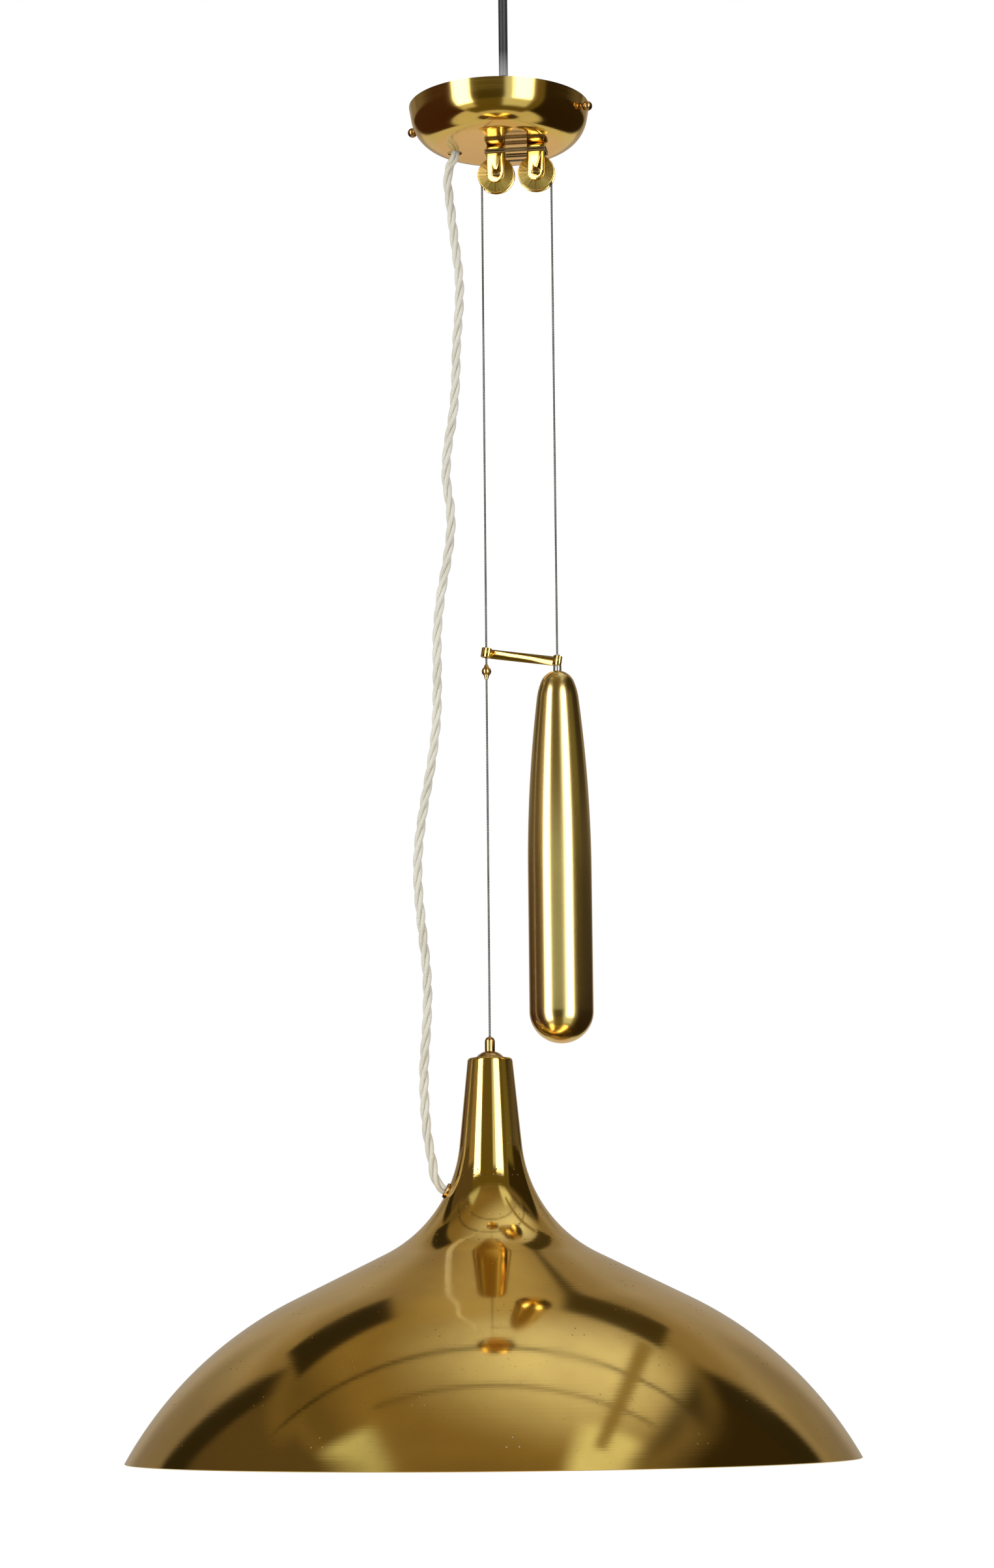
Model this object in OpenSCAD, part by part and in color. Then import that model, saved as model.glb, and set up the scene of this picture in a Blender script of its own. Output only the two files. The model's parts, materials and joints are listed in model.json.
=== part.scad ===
// Rise and fall pendant: a spun shade and a bullet counterweight hang on one wire over two sheaves.
// Origin: on the ceiling, at the middle of the fitting that holds the supply cable. +Z is up.
// The two wires, the sheaves and the guide arm lie in the XZ plane.

/* [Ceiling fitting and supply cable] */
// Diameter of the fitting's base plate
fitting_d = 40; // [34:1:60]
// Thickness of the base plate
fitting_base_t = 3; // [2:0.5:4]
// Depth of the whole fitting under the ceiling
fitting_h = 14; // [11:0.5:16]
// Distance between the two fixing screws
fitting_pitch = 27; // [25:1:29]
// Diameter of each fixing hole
fitting_hole_d = 4.2; // [3.2:0.1:5]
// Diameter of the boss that grips the cable
fitting_boss_d = 16; // [13:0.5:19]
// Diameter of the supply cable
supply_d = 6.6; // [5:0.1:8]
// Distance of the supply cable from the cup's axis
supply_x = 3.5; // [0:0.5:5]
// Distance from the ceiling to the rim of the cup
cable_drop = 100; // [92:1:400]

/* [Ceiling cup] */
// Diameter of the cup at its open rim
cup_d = 130; // [126:1:150]
// Depth of the cup
cup_h = 29.5; // [28.5:0.5:36]
// Thickness of the spun wall
cup_wall = 1; // [0.8:0.1:1.5]
// Radius that rounds the side into the floor
cup_corner_r = 24; // [18:1:25]
// Lean of the cup's side, in degrees from upright
cup_lean = 10; // [6:1:12]
// Diameter of the plain hole for the lamp cord
cord_hole_d = 11; // [9:0.5:13]
// Distance of that hole from the cup's axis
cord_hole_r = 35; // [33:0.5:36]
// Direction of that hole, in degrees about the axis
cord_hole_az = 166; // [150:1:180]
// Diameter of the stiffening plate on the cup's floor
plate_d = 74; // [72:1:78]
// Thickness of the stiffening plate
plate_t = 1.5; // [1:0.1:2.5]

/* [Bracket and side screws] */
// Width of the bracket strap
bracket_w = 20; // [18:1:26]
// Thickness of the bracket strap
bracket_t = 2; // [1.5:0.1:3]
// Direction of the bracket, in degrees about the axis
bracket_az = -15; // [-25:1:-10]
// Depth of the side screws below the rim
side_screw_drop = 9; // [8:0.5:11]
// Diameter of the ball on each side screw
ball_d = 7; // [5:0.5:9]
// Diameter of the side screw's shank
side_screw_d = 4; // [3:0.5:5]
// Diameter of the circle that the bracket's two ceiling holes lie on
bracket_hole_pcd = 66; // [56:1:84]
// Diameter of each ceiling hole in the bracket
bracket_hole_d = 4.5; // [3.5:0.1:6]
// Diameter of the cable grip
grip_d = 15.5; // [13:0.5:17]
// Height of the cable grip above the rim
grip_rise = 22; // [12:1:30]

/* [Yokes and sheaves] */
// Distance between the two sheave axles
sheave_pitch = 29.2; // [28:0.2:34]
// Place of the middle between the sheaves, from the cup's axis
sheave_mid_x = 12.25; // [8:0.25:13]
// Outer diameter of a sheave
sheave_d = 26.5; // [24:0.5:27.5]
// Width of a sheave across its flanges
sheave_w = 6.5; // [5.5:0.1:8]
// Diameter at the bottom of the groove
groove_d = 19.4; // [17:0.2:21]
// Thickness of a flange at its edge
flange_t = 1.3; // [1:0.1:1.6]
// Drop of the axles below the cup's floor
axle_drop = 21.5; // [21:0.5:26]
// Diameter of the axle pins
axle_d = 4; // [3:0.5:5]
// Width of a yoke's strap
yoke_w = 12.4; // [11:0.2:14]
// Thickness of the strap
yoke_t = 1.8; // [1.4:0.1:2.4]
// Diameter of the screw that holds a yoke to the cup
yoke_screw_d = 4; // [3:0.5:4.5]

/* [Wire and stop bead] */
// Diameter of the wire
wire_d = 1.4; // [1:0.1:1.8]
// Distance of the bead's middle below the ceiling
bead_drop = 514; // [512:1:530]
// Diameter of the bead
bead_d = 6.8; // [5:0.2:9]

/* [Shade] */
// Diameter of the shade at its rim
shade_d = 500; // [470:5:540]
// Height of the shade from rim to neck top
shade_h = 273.5; // [268:0.5:290]
// Distance from the ceiling to the top of the neck
neck_drop = 786.5; // [782:0.5:800]
// Thickness of the spun shade
shade_wall = 0.95; // [0.8:0.05:1.4]
// Radius of the dome's arc
dome_r = 263; // [250:1:280]
// Slope of the wall at the rim, in degrees from upright
rim_slope = 29; // [26:1:32]
// Slope of the straight flank between dome and neck
flank_slope = 64; // [62:1:66]
// Radius of the flare from flank to neck
flare_r = 93; // [84:1:100]
// Diameter of the neck at its top
neck_top_d = 30.8; // [30:0.1:34]
// Slope of the neck, in degrees from upright
neck_slope = 5.8; // [5:0.1:7]
// Radius of the shoulder at the neck's top
shoulder_r = 2.2; // [1.8:0.1:3]
// Slope of the wall where the cord goes in
inlet_slope = 26; // [22:1:30]
// Direction of the cord inlet, in degrees about the shade's axis
inlet_az = 195; // [185:1:205]
// Diameter of the collar on the cord bush
bush_flange_d = 11; // [10.8:0.1:12.5]
// Height that the collar stands proud
bush_proud = 1.6; // [1:0.1:2.5]
// Bore of the cord bush
bush_bore_d = 8; // [7.6:0.1:8.2]

/* [Cap, ferrule and stem] */
// Diameter of the domed cap on the neck
cap_d = 20; // [18:0.5:22]
// Radius of the cap's dome
cap_dome_r = 12.5; // [12:0.5:16]
// Diameter of the wire ferrule
ferrule_d = 7; // [6:0.2:8]
// Height of the wire ferrule
ferrule_h = 10.5; // [9:0.5:14]
// Outer diameter of the threaded stem
stem_d = 10; // [9:0.5:11]
// Wall of the stem
stem_wall = 1.2; // [1:0.1:1.8]
// Height of the lampholder's top above the rim
holder_up = 155.5; // [152:0.5:160]

/* [Lampholder] */
// Outer diameter of the lampholder's skirt
holder_d = 41; // [38:0.5:46]
// Height of the lampholder's cap
holder_cap_h = 24; // [20:1:28]
// Height of the lampholder's skirt
skirt_h = 38; // [34:1:42]
// Inner diameter of the lamp screw shell
screw_bore_d = 26.7; // [26.4:0.1:27]
// Wall of the screw shell
screw_wall = 0.6; // [0.4:0.1:0.8]
// Depth of the screw shell
screw_len = 24; // [20:1:26]
// Depth of the well that the contact stands in
well_h = 3; // [2.8:0.1:4]

/* [Counterweight and guide arm] */
// Diameter of the counterweight
weight_d = 44.4; // [40:0.2:50]
// Length of the counterweight
weight_h = 262; // [230:2:300]
// Distance from the ceiling to the counterweight's top
weight_drop = 515; // [515:1:522]
// Radius of the nose at the top
nose_r = 12.5; // [11.5:0.1:13.5]
// Slope where the nose meets the shoulder, in degrees
nose_slope = 22; // [18:0.5:26]
// Radius of the shoulder's arc
shoulder_arc_r = 47; // [30:1:55]
// Slope where the shoulder meets the long side, in degrees
side_slope = 7; // [6:0.5:9]
// Wall of the counterweight's shell
weight_wall = 1.2; // [0.8:0.1:2]
// Diameter of the collar on the counterweight
collar_d = 5.8; // [5.6:0.1:7]
// Height of the collar above the counterweight
collar_rise = 3; // [2:0.5:5]
// Diameter of the spigot that the guide arm turns on
spigot_d = 3.6; // [3.2:0.1:4]
// Free play between the arm and the spigot, on the radius
arm_play = 0.6; // [0.5:0.1:0.6]
// Height of the strip that the guide arm is bent from
arm_w = 6.6; // [5.6:0.1:7]
// Thickness of that strip
arm_t = 0.8; // [0.6:0.1:1]
// Slope of the arm, rising to the shade wire, in degrees
arm_slope = 8.5; // [4:0.5:10]
// Inner diameter of the curl round the shade wire
curl_bore_d = 5.6; // [5.2:0.1:6.4]

/* [Lamp cord] */
// Diameter of the twisted lamp cord
cord_d = 6.8; // [6:0.1:6.8]

/* [Hidden] */
$fn = 64;
eps = 0.01;
fit_gap = 0.05;      // radial clearance of a pin in its hole
loose_gap = 0.2;     // radial clearance of a part that only passes through
seat_gap = 0.3;      // clearance between bodies that nearly touch
arc_steps = 14;
steel = [0.62, 0.62, 0.64];
brass = [0.83, 0.66, 0.27];
brass_red = [0.72, 0.5, 0.22];
black = [0.1, 0.1, 0.11];
cream = [0.9, 0.87, 0.75];
white = [0.93, 0.93, 0.9];
wire_grey = [0.33, 0.33, 0.35];
zinc = [0.75, 0.76, 0.78];

// levels below the ceiling
rim_z = -cable_drop;
floor_z = rim_z - cup_h;
inner_floor_z = floor_z + cup_wall;
plate_top_z = inner_floor_z + plate_t;
axle_z = floor_z - axle_drop;
bead_z = -bead_drop;
neck_z = -neck_drop;
shade_z = neck_z - shade_h;
weight_z = -weight_drop;

// the cup's outline: an arc between a flat floor and a leaning side
cup_arc_z = floor_z + cup_corner_r;
cup_arc_x = cup_d / 2 - cup_corner_r * cos(cup_lean)
    - (rim_z - cup_arc_z + cup_corner_r * sin(cup_lean)) * tan(cup_lean);
function cup_line(inset) = let (r = cup_corner_r - inset) concat(
    [[0, floor_z + inset], [cup_arc_x, floor_z + inset]],
    [for (i = [1:arc_steps]) let (a = -90 + (90 - cup_lean) * i / arc_steps)
        [cup_arc_x + r * cos(a), cup_arc_z + r * sin(a)]],
    [[cup_d / 2 - inset / cos(cup_lean), rim_z]]);
side_screw_z = rim_z - side_screw_drop;
cup_side_r = cup_d / 2 - side_screw_drop * tan(cup_lean);
lug_r = cup_side_r - cup_wall / cos(cup_lean) - 4.5;   // middle of a bracket lug
lug_drop = side_screw_drop + side_screw_d / 2 + 2.5;
cord_hole = [cord_hole_r * cos(cord_hole_az), cord_hole_r * sin(cord_hole_az)];

// the wire's run over the sheaves
sheave_x = [sheave_mid_x - sheave_pitch / 2, sheave_mid_x + sheave_pitch / 2];
wire_run_r = groove_d / 2 + 0.15 + wire_d / 2;
shade_x = sheave_x[0] - wire_run_r;
weight_x = sheave_x[1] + wire_run_r;
wire_bore_d = wire_d + 0.2;
sheave_hub_d = axle_d + 5;
hub_proud = 0.3;
ear_gap = sheave_w + 2 * hub_proud + 0.4;
yoke_y = ear_gap / 2 + yoke_t;
yoke_bend_r = yoke_t + 0.4;
axle_head_d = axle_d + 1.6;
axle_nut_af = axle_d + 3;
yoke_head_h = 2.2;
yoke_head_d = min(yoke_screw_d + 3, ear_gap - 2 * (yoke_bend_r - yoke_t) - 0.1);

// the shade's outline: dome arc, straight flank, flare arc and tapering neck. The arcs' rise and reach
// leave the flank its length, so that rim and neck both keep their diameters.
arcs_rise = dome_r * (sin(flank_slope) - sin(rim_slope)) + flare_r * (sin(flank_slope) - sin(neck_slope));
arcs_reach = dome_r * (cos(rim_slope) - cos(flank_slope)) + flare_r * (cos(neck_slope) - cos(flank_slope));
flank_len = (shade_d / 2 - arcs_reach - neck_top_d / 2 - (shade_h - arcs_rise) * tan(neck_slope))
    / (sin(flank_slope) - cos(flank_slope) * tan(neck_slope));
dome_c = [shade_d / 2 - dome_r * cos(rim_slope), -dome_r * sin(rim_slope)];
dome_end = dome_c + dome_r * [cos(flank_slope), sin(flank_slope)];
flank_end = dome_end + flank_len * [-sin(flank_slope), cos(flank_slope)];
flare_c = flank_end + flare_r * [cos(flank_slope), sin(flank_slope)];
shoulder_x = neck_top_d / 2 - shoulder_r * (1 - sin(neck_slope)) / cos(neck_slope);
function shade_line(inset) = concat(
    [for (i = [0:arc_steps]) let (a = rim_slope + (flank_slope - rim_slope) * i / arc_steps)
        dome_c + (dome_r - inset) * [cos(a), sin(a)]],
    [for (i = [0:arc_steps]) let (a = flank_slope + (neck_slope - flank_slope) * i / arc_steps)
        flare_c - (flare_r + inset) * [cos(a), sin(a)]],
    [for (i = [0:6]) let (a = neck_slope + (90 - neck_slope) * i / 6)
        [shoulder_x, shade_h - shoulder_r] + (shoulder_r - inset) * [cos(a), sin(a)]]);
inlet_r = flare_c[0] - flare_r * cos(inlet_slope);
inlet_z = shade_z + flare_c[1] - flare_r * sin(inlet_slope);
bush_sleeve_d = bush_bore_d + 1.6;
// the flare rises under the bush's flat collar
bush_seat = bush_flange_d * bush_flange_d / 8 / flare_r + fit_gap;
bush_len = 7;

// the cap, stem and lampholder, on the shade's axis
cap_h = cap_dome_r - sqrt(cap_dome_r * cap_dome_r - cap_d * cap_d / 4);
cap_flat_z = neck_z + sqrt(pow(cap_dome_r, 2) - pow(ferrule_d / 2, 2)) - (cap_dome_r - cap_h);
ferrule_z = cap_flat_z + ferrule_h;
stem_top_z = neck_z + cap_h * 0.45;
holder_z = shade_z + holder_up;
skirt_z = holder_z - holder_cap_h;
insert_h = 10;
skirt_wall = 2.5;
shell_r = screw_bore_d / 2 + screw_wall;
insert_z = skirt_z - insert_h;
shell_z = insert_z - well_h;

// the counterweight's outline: nose, shoulder and long side arcs, straight part and round end
shoulder_at = (nose_r - shoulder_arc_r) * [cos(nose_slope), sin(nose_slope)] - [0, nose_r];
side_arc_r = (weight_d / 2 - shoulder_at[0] - shoulder_arc_r * cos(side_slope)) / (1 - cos(side_slope));
side_at = shoulder_at + (shoulder_arc_r - side_arc_r) * [cos(side_slope), sin(side_slope)];
function weight_line(inset) = concat(
    [for (i = [0:arc_steps]) let (a = 90 - (90 - nose_slope) * i / arc_steps)
        [(nose_r - inset) * cos(a), -nose_r + (nose_r - inset) * sin(a)]],
    [for (i = [1:5]) let (a = nose_slope + (side_slope - nose_slope) * i / 5)
        shoulder_at + (shoulder_arc_r - inset) * [cos(a), sin(a)]],
    [for (i = [1:arc_steps]) let (a = side_slope * (1 - i / arc_steps))
        side_at + (side_arc_r - inset) * [cos(a), sin(a)]],
    [for (i = [0:arc_steps]) let (a = -90 * i / arc_steps, r = weight_d / 2)
        [(r - inset) * cos(a), -weight_h + r + (r - inset) * sin(a)]]);
arm_ring_bore = spigot_d + 2 * arm_play;
// the arm's slanted ring stands on the collar's shoulder with its lowest corner
arm_ring_z = weight_z + collar_rise + arm_w / 2 * cos(arm_slope)
    + (arm_ring_bore / 2 + arm_t) * sin(arm_slope) + fit_gap;
spigot_top_z = arm_ring_z + arm_w / 2 + 1;
arm_len = (weight_x - shade_x) / cos(arm_slope);

// the lamp cord's free route, from the cup's hole to the bush, as [x, y, z]
cord_route = [
    [-38, 8, -141], [-39, 8, -153], [-37, 8, -172], [-34, 7, -198], [-31, 6, -224], [-31, 5, -246],
    [-33, 5, -272], [-34, 5, -300], [-36, 5, -325], [-40, 4, -350], [-41, 3, -373], [-38, 2, -395],
    [-38, 2, -413], [-41, 2, -434], [-45, 1, -457], [-48, 1, -485], [-48, 0, -520], [-49, 0, -550],
    [-53, -1, -582], [-58, -2, -610], [-62, -2, -640], [-62, -3, -668], [-59, -3, -700],
    [-56, -4, -730], [-56, -5, -758], [-58, -6, -788], [-58, -7, -812], [-56, -8, -838],
    [-53, -9, -855], [-51, -10, -866], [-49, -10, -872]];
cord_start = [cord_hole[0], cord_hole[1], floor_z];
inlet_out = [cos(inlet_slope) * cos(inlet_az), cos(inlet_slope) * sin(inlet_az), sin(inlet_slope)];
inlet_at = [shade_x + inlet_r * cos(inlet_az), inlet_r * sin(inlet_az), inlet_z];
cord_end = inlet_at + bush_proud * inlet_out;
cord_path = concat([cord_start, cord_start - [0.5, 0, 5]], cord_route,
    [cord_end + 3 * inlet_out, cord_end]);
inner_path = [cord_end - 0.3 * inlet_out, inlet_at - 8 * inlet_out, [shade_x - 14, -3, inlet_z - 12],
    [shade_x - 12, -1, holder_z + 7], [shade_x - 12, 0, holder_z - 1.5]];
spare_r = 47;
spare_z = floor_z + 11;
block_len = 28;
block_w = 15;
block_h = 11;
block_y = -14;
block_pitch = 9;
spare_path = concat(
    [cord_start + [0, 0, 0.2], cord_start + [0, 0, 7], cord_start + [-1, 4, 12], cord_start + [-3, 12, 13]],
    [for (a = [cord_hole_az - 31:-24:cord_hole_az - 248]) [spare_r * cos(a), spare_r * sin(a), spare_z]],
    [[-5, 4 - spare_r, spare_z - 1], [-9, 11 - spare_r, spare_z - 2],
     [-block_pitch, block_y - block_w / 2 - 7, plate_top_z + block_h / 2],
     [-block_pitch, block_y - block_w / 2 - 0.1, plate_top_z + block_h / 2]]);

// a point on a smooth curve through four points
function smooth_at(a, b, c, d, t) = 0.5 * (2 * b + (c - a) * t + (2 * a - 5 * b + 4 * c - d) * t * t
    + (3 * b - a - 3 * c + d) * t * t * t);
// a smooth path through all the points, with n steps between two of them
function smooth_path(p, n) = concat(
    [for (i = [0:len(p) - 2], k = [0:n - 1])
        smooth_at(p[max(i - 1, 0)], p[i], p[i + 1], p[min(i + 2, len(p) - 1)], k / n)],
    [p[len(p) - 1]]);
function unit(v) = v / norm(v);
// the tangent at each point of a path
function tangents(p) = [for (i = [0:len(p) - 1])
    unit(p[min(i + 1, len(p) - 1)] - p[max(i - 1, 0)])];

// a round tube along a path; up is a direction that the path never follows
module tube(path, d, sides, up) {
    t = tangents(path);
    rings = [for (i = [0:len(path) - 1])
        let (u = unit(cross(up, t[i])), v = cross(t[i], u))
        for (k = [0:sides - 1]) let (a = 360 * k / sides)
            path[i] + d / 2 * (cos(a) * u + sin(a) * v)];
    n = len(path);
    side_faces = [for (i = [0:n - 2], k = [0:sides - 1]) let (j = (k + 1) % sides)
        each [[i * sides + k, (i + 1) * sides + k, i * sides + j],
              [i * sides + j, (i + 1) * sides + k, (i + 1) * sides + j]]];
    polyhedron(rings, concat(side_faces,
        [for (k = [1:sides - 2]) [0, k, k + 1]],
        [for (k = [1:sides - 2]) [(n - 1) * sides, (n - 1) * sides + k + 1, (n - 1) * sides + k]]));
}

// an upright hole or rod through all of the cup
module upright(x, y, d, z0, z1) {
    translate([x, y, z0]) cylinder(d = d, h = z1 - z0);
}

module at_bracket() {
    rotate([0, 0, bracket_az]) children();
}

module ceiling_fitting() {
    color(black) difference() {
        union() {
            translate([0, 0, -fitting_base_t]) cylinder(d = fitting_d, h = fitting_base_t);
            translate([supply_x, 0, -fitting_h]) cylinder(d = fitting_boss_d, h = fitting_h - eps);
        }
        translate([supply_x, 0, -fitting_h - 1]) cylinder(d = supply_d, h = fitting_h - fitting_base_t + 1);
        for (s = [-1, 1])
            translate([0, s * fitting_pitch / 2, -fitting_base_t - 1])
                cylinder(d = fitting_hole_d, h = fitting_base_t + 2);
    }
}

supply_end_z = rim_z - 12;
module supply_cable() {
    color(black) upright(supply_x, 0, supply_d, supply_end_z, -fitting_base_t);
}

// the grip stands through the bracket's middle hole, and its flange bears on the strap
grip_flange_d = grip_d + 4;
module cable_grip() {
    color(black) translate([supply_x, 0, rim_z]) difference() {
        rotate_extrude() polygon([[0, -7], [grip_d / 2 - 1.5, -7], [grip_d / 2 - 1.5, -bracket_t - 1],
            [grip_flange_d / 2, -bracket_t - 1], [grip_flange_d / 2, -bracket_t],
            [grip_d / 2 - 1.5, -bracket_t], [grip_d / 2 - 1.5, 0], [grip_d / 2, 0],
            [grip_d / 2, grip_rise - 3], [grip_d / 2 - 2, grip_rise], [0, grip_rise]]);
        translate([0, 0, -8]) cylinder(d = supply_d, h = grip_rise + 9);
    }
}

module ceiling_cup() {
    color(brass) difference() {
        rotate_extrude($fn = 96) polygon(concat(cup_line(0),
            [for (i = [len(cup_line(0)) - 1:-1:0]) cup_line(cup_wall)[i]]));
        upright(cord_hole[0], cord_hole[1], cord_hole_d, floor_z - 1, inner_floor_z + 1);
        for (x = sheave_x) upright(x, 0, yoke_screw_d + 2 * fit_gap, floor_z - 1, inner_floor_z + 1);
        at_bracket() translate([0, 0, side_screw_z]) rotate([0, 90, 0])
            cylinder(d = side_screw_d + 2 * loose_gap, h = cup_d + 4, center = true);
    }
}

module ceiling_bracket() {
    strap = 2 * lug_r + bracket_t;
    color(zinc) difference() {
        at_bracket() difference() {
            translate([0, 0, rim_z - lug_drop]) linear_extrude(lug_drop)
                square([strap, bracket_w], center = true);
            translate([0, 0, rim_z - lug_drop - 1]) linear_extrude(lug_drop - bracket_t + 1)
                square([strap - 2 * bracket_t, bracket_w + 2], center = true);
            for (s = [-1, 1]) translate([s * bracket_hole_pcd / 2, 0, rim_z - bracket_t - 1])
                cylinder(d = bracket_hole_d, h = bracket_t + 2);
            translate([0, 0, side_screw_z]) rotate([0, 90, 0])
                cylinder(d = side_screw_d + 2 * fit_gap, h = strap + 4, center = true);
        }
        upright(supply_x, 0, grip_d - 3 + 2 * loose_gap, rim_z - bracket_t - 1, rim_z + 1);
    }
}

// each screw: a ball, a small collar on the cup's side, and a shank through the bracket's lug
module side_screws() {
    collar_at = cup_side_r + 0.6;
    color(brass_red) at_bracket() for (s = [0, 180]) rotate([0, 0, s])
        translate([0, 0, side_screw_z]) rotate([0, 90, 0]) {
            translate([0, 0, lug_r - 3]) cylinder(d = side_screw_d, h = collar_at - lug_r + 3 + eps);
            translate([0, 0, collar_at]) cylinder(d = ball_d * 0.7, h = 1.6 + eps);
            translate([0, 0, collar_at + 1.6 + ball_d * 0.42]) sphere(d = ball_d);
        }
}

module stiffening_plate() {
    color(zinc) difference() {
        upright(0, 0, plate_d, inner_floor_z, plate_top_z);
        upright(cord_hole[0], cord_hole[1], cord_hole_d, inner_floor_z - 1, plate_top_z + 1);
        for (x = sheave_x)
            upright(x, 0, yoke_screw_d + 2 * fit_gap, inner_floor_z - 1, plate_top_z + 1);
    }
}

module terminal_block() {
    color(white) translate([0, block_y, plate_top_z]) difference() {
        translate([-block_len / 2, -block_w / 2, 0]) cube([block_len, block_w, block_h]);
        for (i = [-1:1]) {
            translate([i * block_pitch, 0, block_h / 2]) rotate([90, 0, 0])
                cylinder(d = 3.4, h = block_w + 2, center = true);
            for (s = [-1, 1])
                translate([i * block_pitch, s * 4, block_h / 2]) cylinder(d = 3, h = block_h);
        }
    }
}

module spare_cord() {
    color(cream) tube(smooth_path(spare_path, 2), cord_d, 8, [0.3, 0.2, 1]);
}

// 2D outline with its two upper corners rounded, hanging from y = 0
module round_topped(w, h, r) {
    translate([-w / 2, -h]) square([w, h - r]);
    translate([-w / 2 + r, -h]) square([w - 2 * r, h]);
    for (s = [-1, 1]) translate([s * (w / 2 - r), -r]) circle(r);
}

module yoke(x) {
    ear_h = axle_drop + yoke_w / 2;
    color(brass) translate([x, 0, floor_z]) difference() {
        intersection() {
            rotate([90, 0, 90]) translate([0, 0, -yoke_w / 2]) linear_extrude(yoke_w) difference() {
                round_topped(2 * yoke_y, ear_h, yoke_bend_r);
                translate([0, -yoke_t]) round_topped(ear_gap, ear_h, yoke_bend_r - yoke_t);
            }
            rotate([90, 0, 0]) translate([0, 0, -yoke_y - 1]) linear_extrude(2 * yoke_y + 2) {
                translate([-yoke_w / 2, -axle_drop]) square([yoke_w, axle_drop + 1]);
                translate([0, -axle_drop]) circle(d = yoke_w);
            }
        }
        translate([0, 0, -axle_drop]) rotate([90, 0, 0])
            cylinder(d = axle_d + 2 * fit_gap, h = 2 * yoke_y + 2, center = true);
        translate([0, 0, -yoke_t - 1]) cylinder(d = yoke_screw_d + 2 * fit_gap, h = yoke_t + 2);
    }
}
module yoke_left() { yoke(sheave_x[0]); }
module yoke_right() { yoke(sheave_x[1]); }

// a pan head under the yoke's bridge, and the shank up through cup and plate
yoke_nut_h = 3.2;
module yoke_screws() {
    under = floor_z - yoke_t;
    color(steel) for (x = sheave_x) translate([x, 0, under]) difference() {
        union() {
            translate([0, 0, -yoke_head_h]) cylinder(d = yoke_head_d, h = yoke_head_h);
            translate([0, 0, -eps]) cylinder(d = yoke_screw_d,
                h = yoke_t + cup_wall + plate_t + yoke_nut_h + 1.5);
        }
        translate([-5, -0.5, -yoke_head_h - 1]) cube([10, 1, 1.8]);
    }
}
module yoke_nuts() {
    color(steel) for (x = sheave_x) translate([x, 0, plate_top_z]) difference() {
        cylinder(d = (yoke_screw_d + 3) / cos(30), h = yoke_nut_h, $fn = 6);
        translate([0, 0, -1]) cylinder(d = yoke_screw_d, h = yoke_nut_h + 2);
    }
}

// a slotted head in front, the shank through both ears, and a nut behind
axle_head_h = 1.2;
module axles() {
    color(brass_red) for (x = sheave_x) translate([x, 0, axle_z]) rotate([90, 0, 0]) difference() {
        union() {
            translate([0, 0, -yoke_y - 4]) cylinder(d = axle_d, h = 2 * yoke_y + 4 + eps);
            translate([0, 0, yoke_y]) cylinder(d = axle_head_d, h = axle_head_h);
        }
        translate([-5, -0.4, yoke_y + axle_head_h - 0.6]) cube([10, 0.8, 2]);
    }
}
module axle_nuts() {
    color(brass_red) for (x = sheave_x) translate([x, yoke_y, axle_z]) rotate([-90, 0, 0]) difference() {
        cylinder(d = axle_nut_af / cos(30), h = 3, $fn = 6);
        translate([0, 0, -1]) cylinder(d = axle_d, h = 5);
    }
}

module sheave(x) {
    half = sheave_w / 2;
    groove_half = wire_d / 2 + 0.25;
    color(brass) translate([x, 0, axle_z]) rotate([90, 0, 0]) difference() {
        rotate_extrude($fn = 96) polygon([
            [0, -half - hub_proud], [sheave_hub_d / 2, -half - hub_proud], [sheave_hub_d / 2, -half],
            [sheave_d / 2 - 0.4, -half], [sheave_d / 2, -half + 0.4], [sheave_d / 2, -half + flange_t],
            [groove_d / 2, -groove_half], [groove_d / 2, groove_half],
            [sheave_d / 2, half - flange_t], [sheave_d / 2, half - 0.4], [sheave_d / 2 - 0.4, half],
            [sheave_hub_d / 2, half], [sheave_hub_d / 2, half + hub_proud], [0, half + hub_proud]]);
        cylinder(d = axle_d + 2 * fit_gap, h = sheave_w + 4, center = true);
    }
}
module sheave_left() { sheave(sheave_x[0]); }
module sheave_right() { sheave(sheave_x[1]); }

// a quarter turn of wire about an axle, from the side at angle a0
module wire_quarter(x, a0) {
    translate([x, 0, axle_z]) rotate([90, 0, 0]) rotate([0, 0, a0])
        rotate_extrude(angle = 90) translate([wire_run_r, 0]) circle(d = wire_d, $fn = 24);
}
module wire_over() {
    color(wire_grey) {
        wire_quarter(sheave_x[0], 90);
        wire_quarter(sheave_x[1], 0);
        translate([sheave_x[0], 0, axle_z + wire_run_r]) rotate([0, 90, 0])
            cylinder(d = wire_d, h = sheave_pitch, $fn = 24);
    }
}

// two turns of wire round both yokes, just under the cup
module wire_hitch() {
    turn = wire_d / 2 + 0.1;   // the wire turns sharply round each ear's corner
    hx = (sheave_pitch + yoke_w) / 2 + turn;
    hy = yoke_y + turn;
    color(wire_grey) for (k = [0, 1])
        translate([sheave_mid_x, 0, floor_z - 4 - k * (wire_d + 0.3)]) {
            for (s = [0, 180]) rotate([0, 0, s]) {
                translate([hx - turn, hy - turn, 0]) rotate_extrude(angle = 90)
                    translate([turn, 0]) circle(d = wire_d, $fn = 24);
                translate([-hx + turn, hy - turn, 0]) rotate([0, 0, 90]) rotate_extrude(angle = 90)
                    translate([turn, 0]) circle(d = wire_d, $fn = 24);
                translate([-hx + turn, hy, 0]) rotate([0, 90, 0])
                    cylinder(d = wire_d, h = 2 * (hx - turn), $fn = 24);
                translate([hx, -hy + turn, 0]) rotate([-90, 0, 0])
                    cylinder(d = wire_d, h = 2 * (hy - turn), $fn = 24);
            }
        }
}

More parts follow.
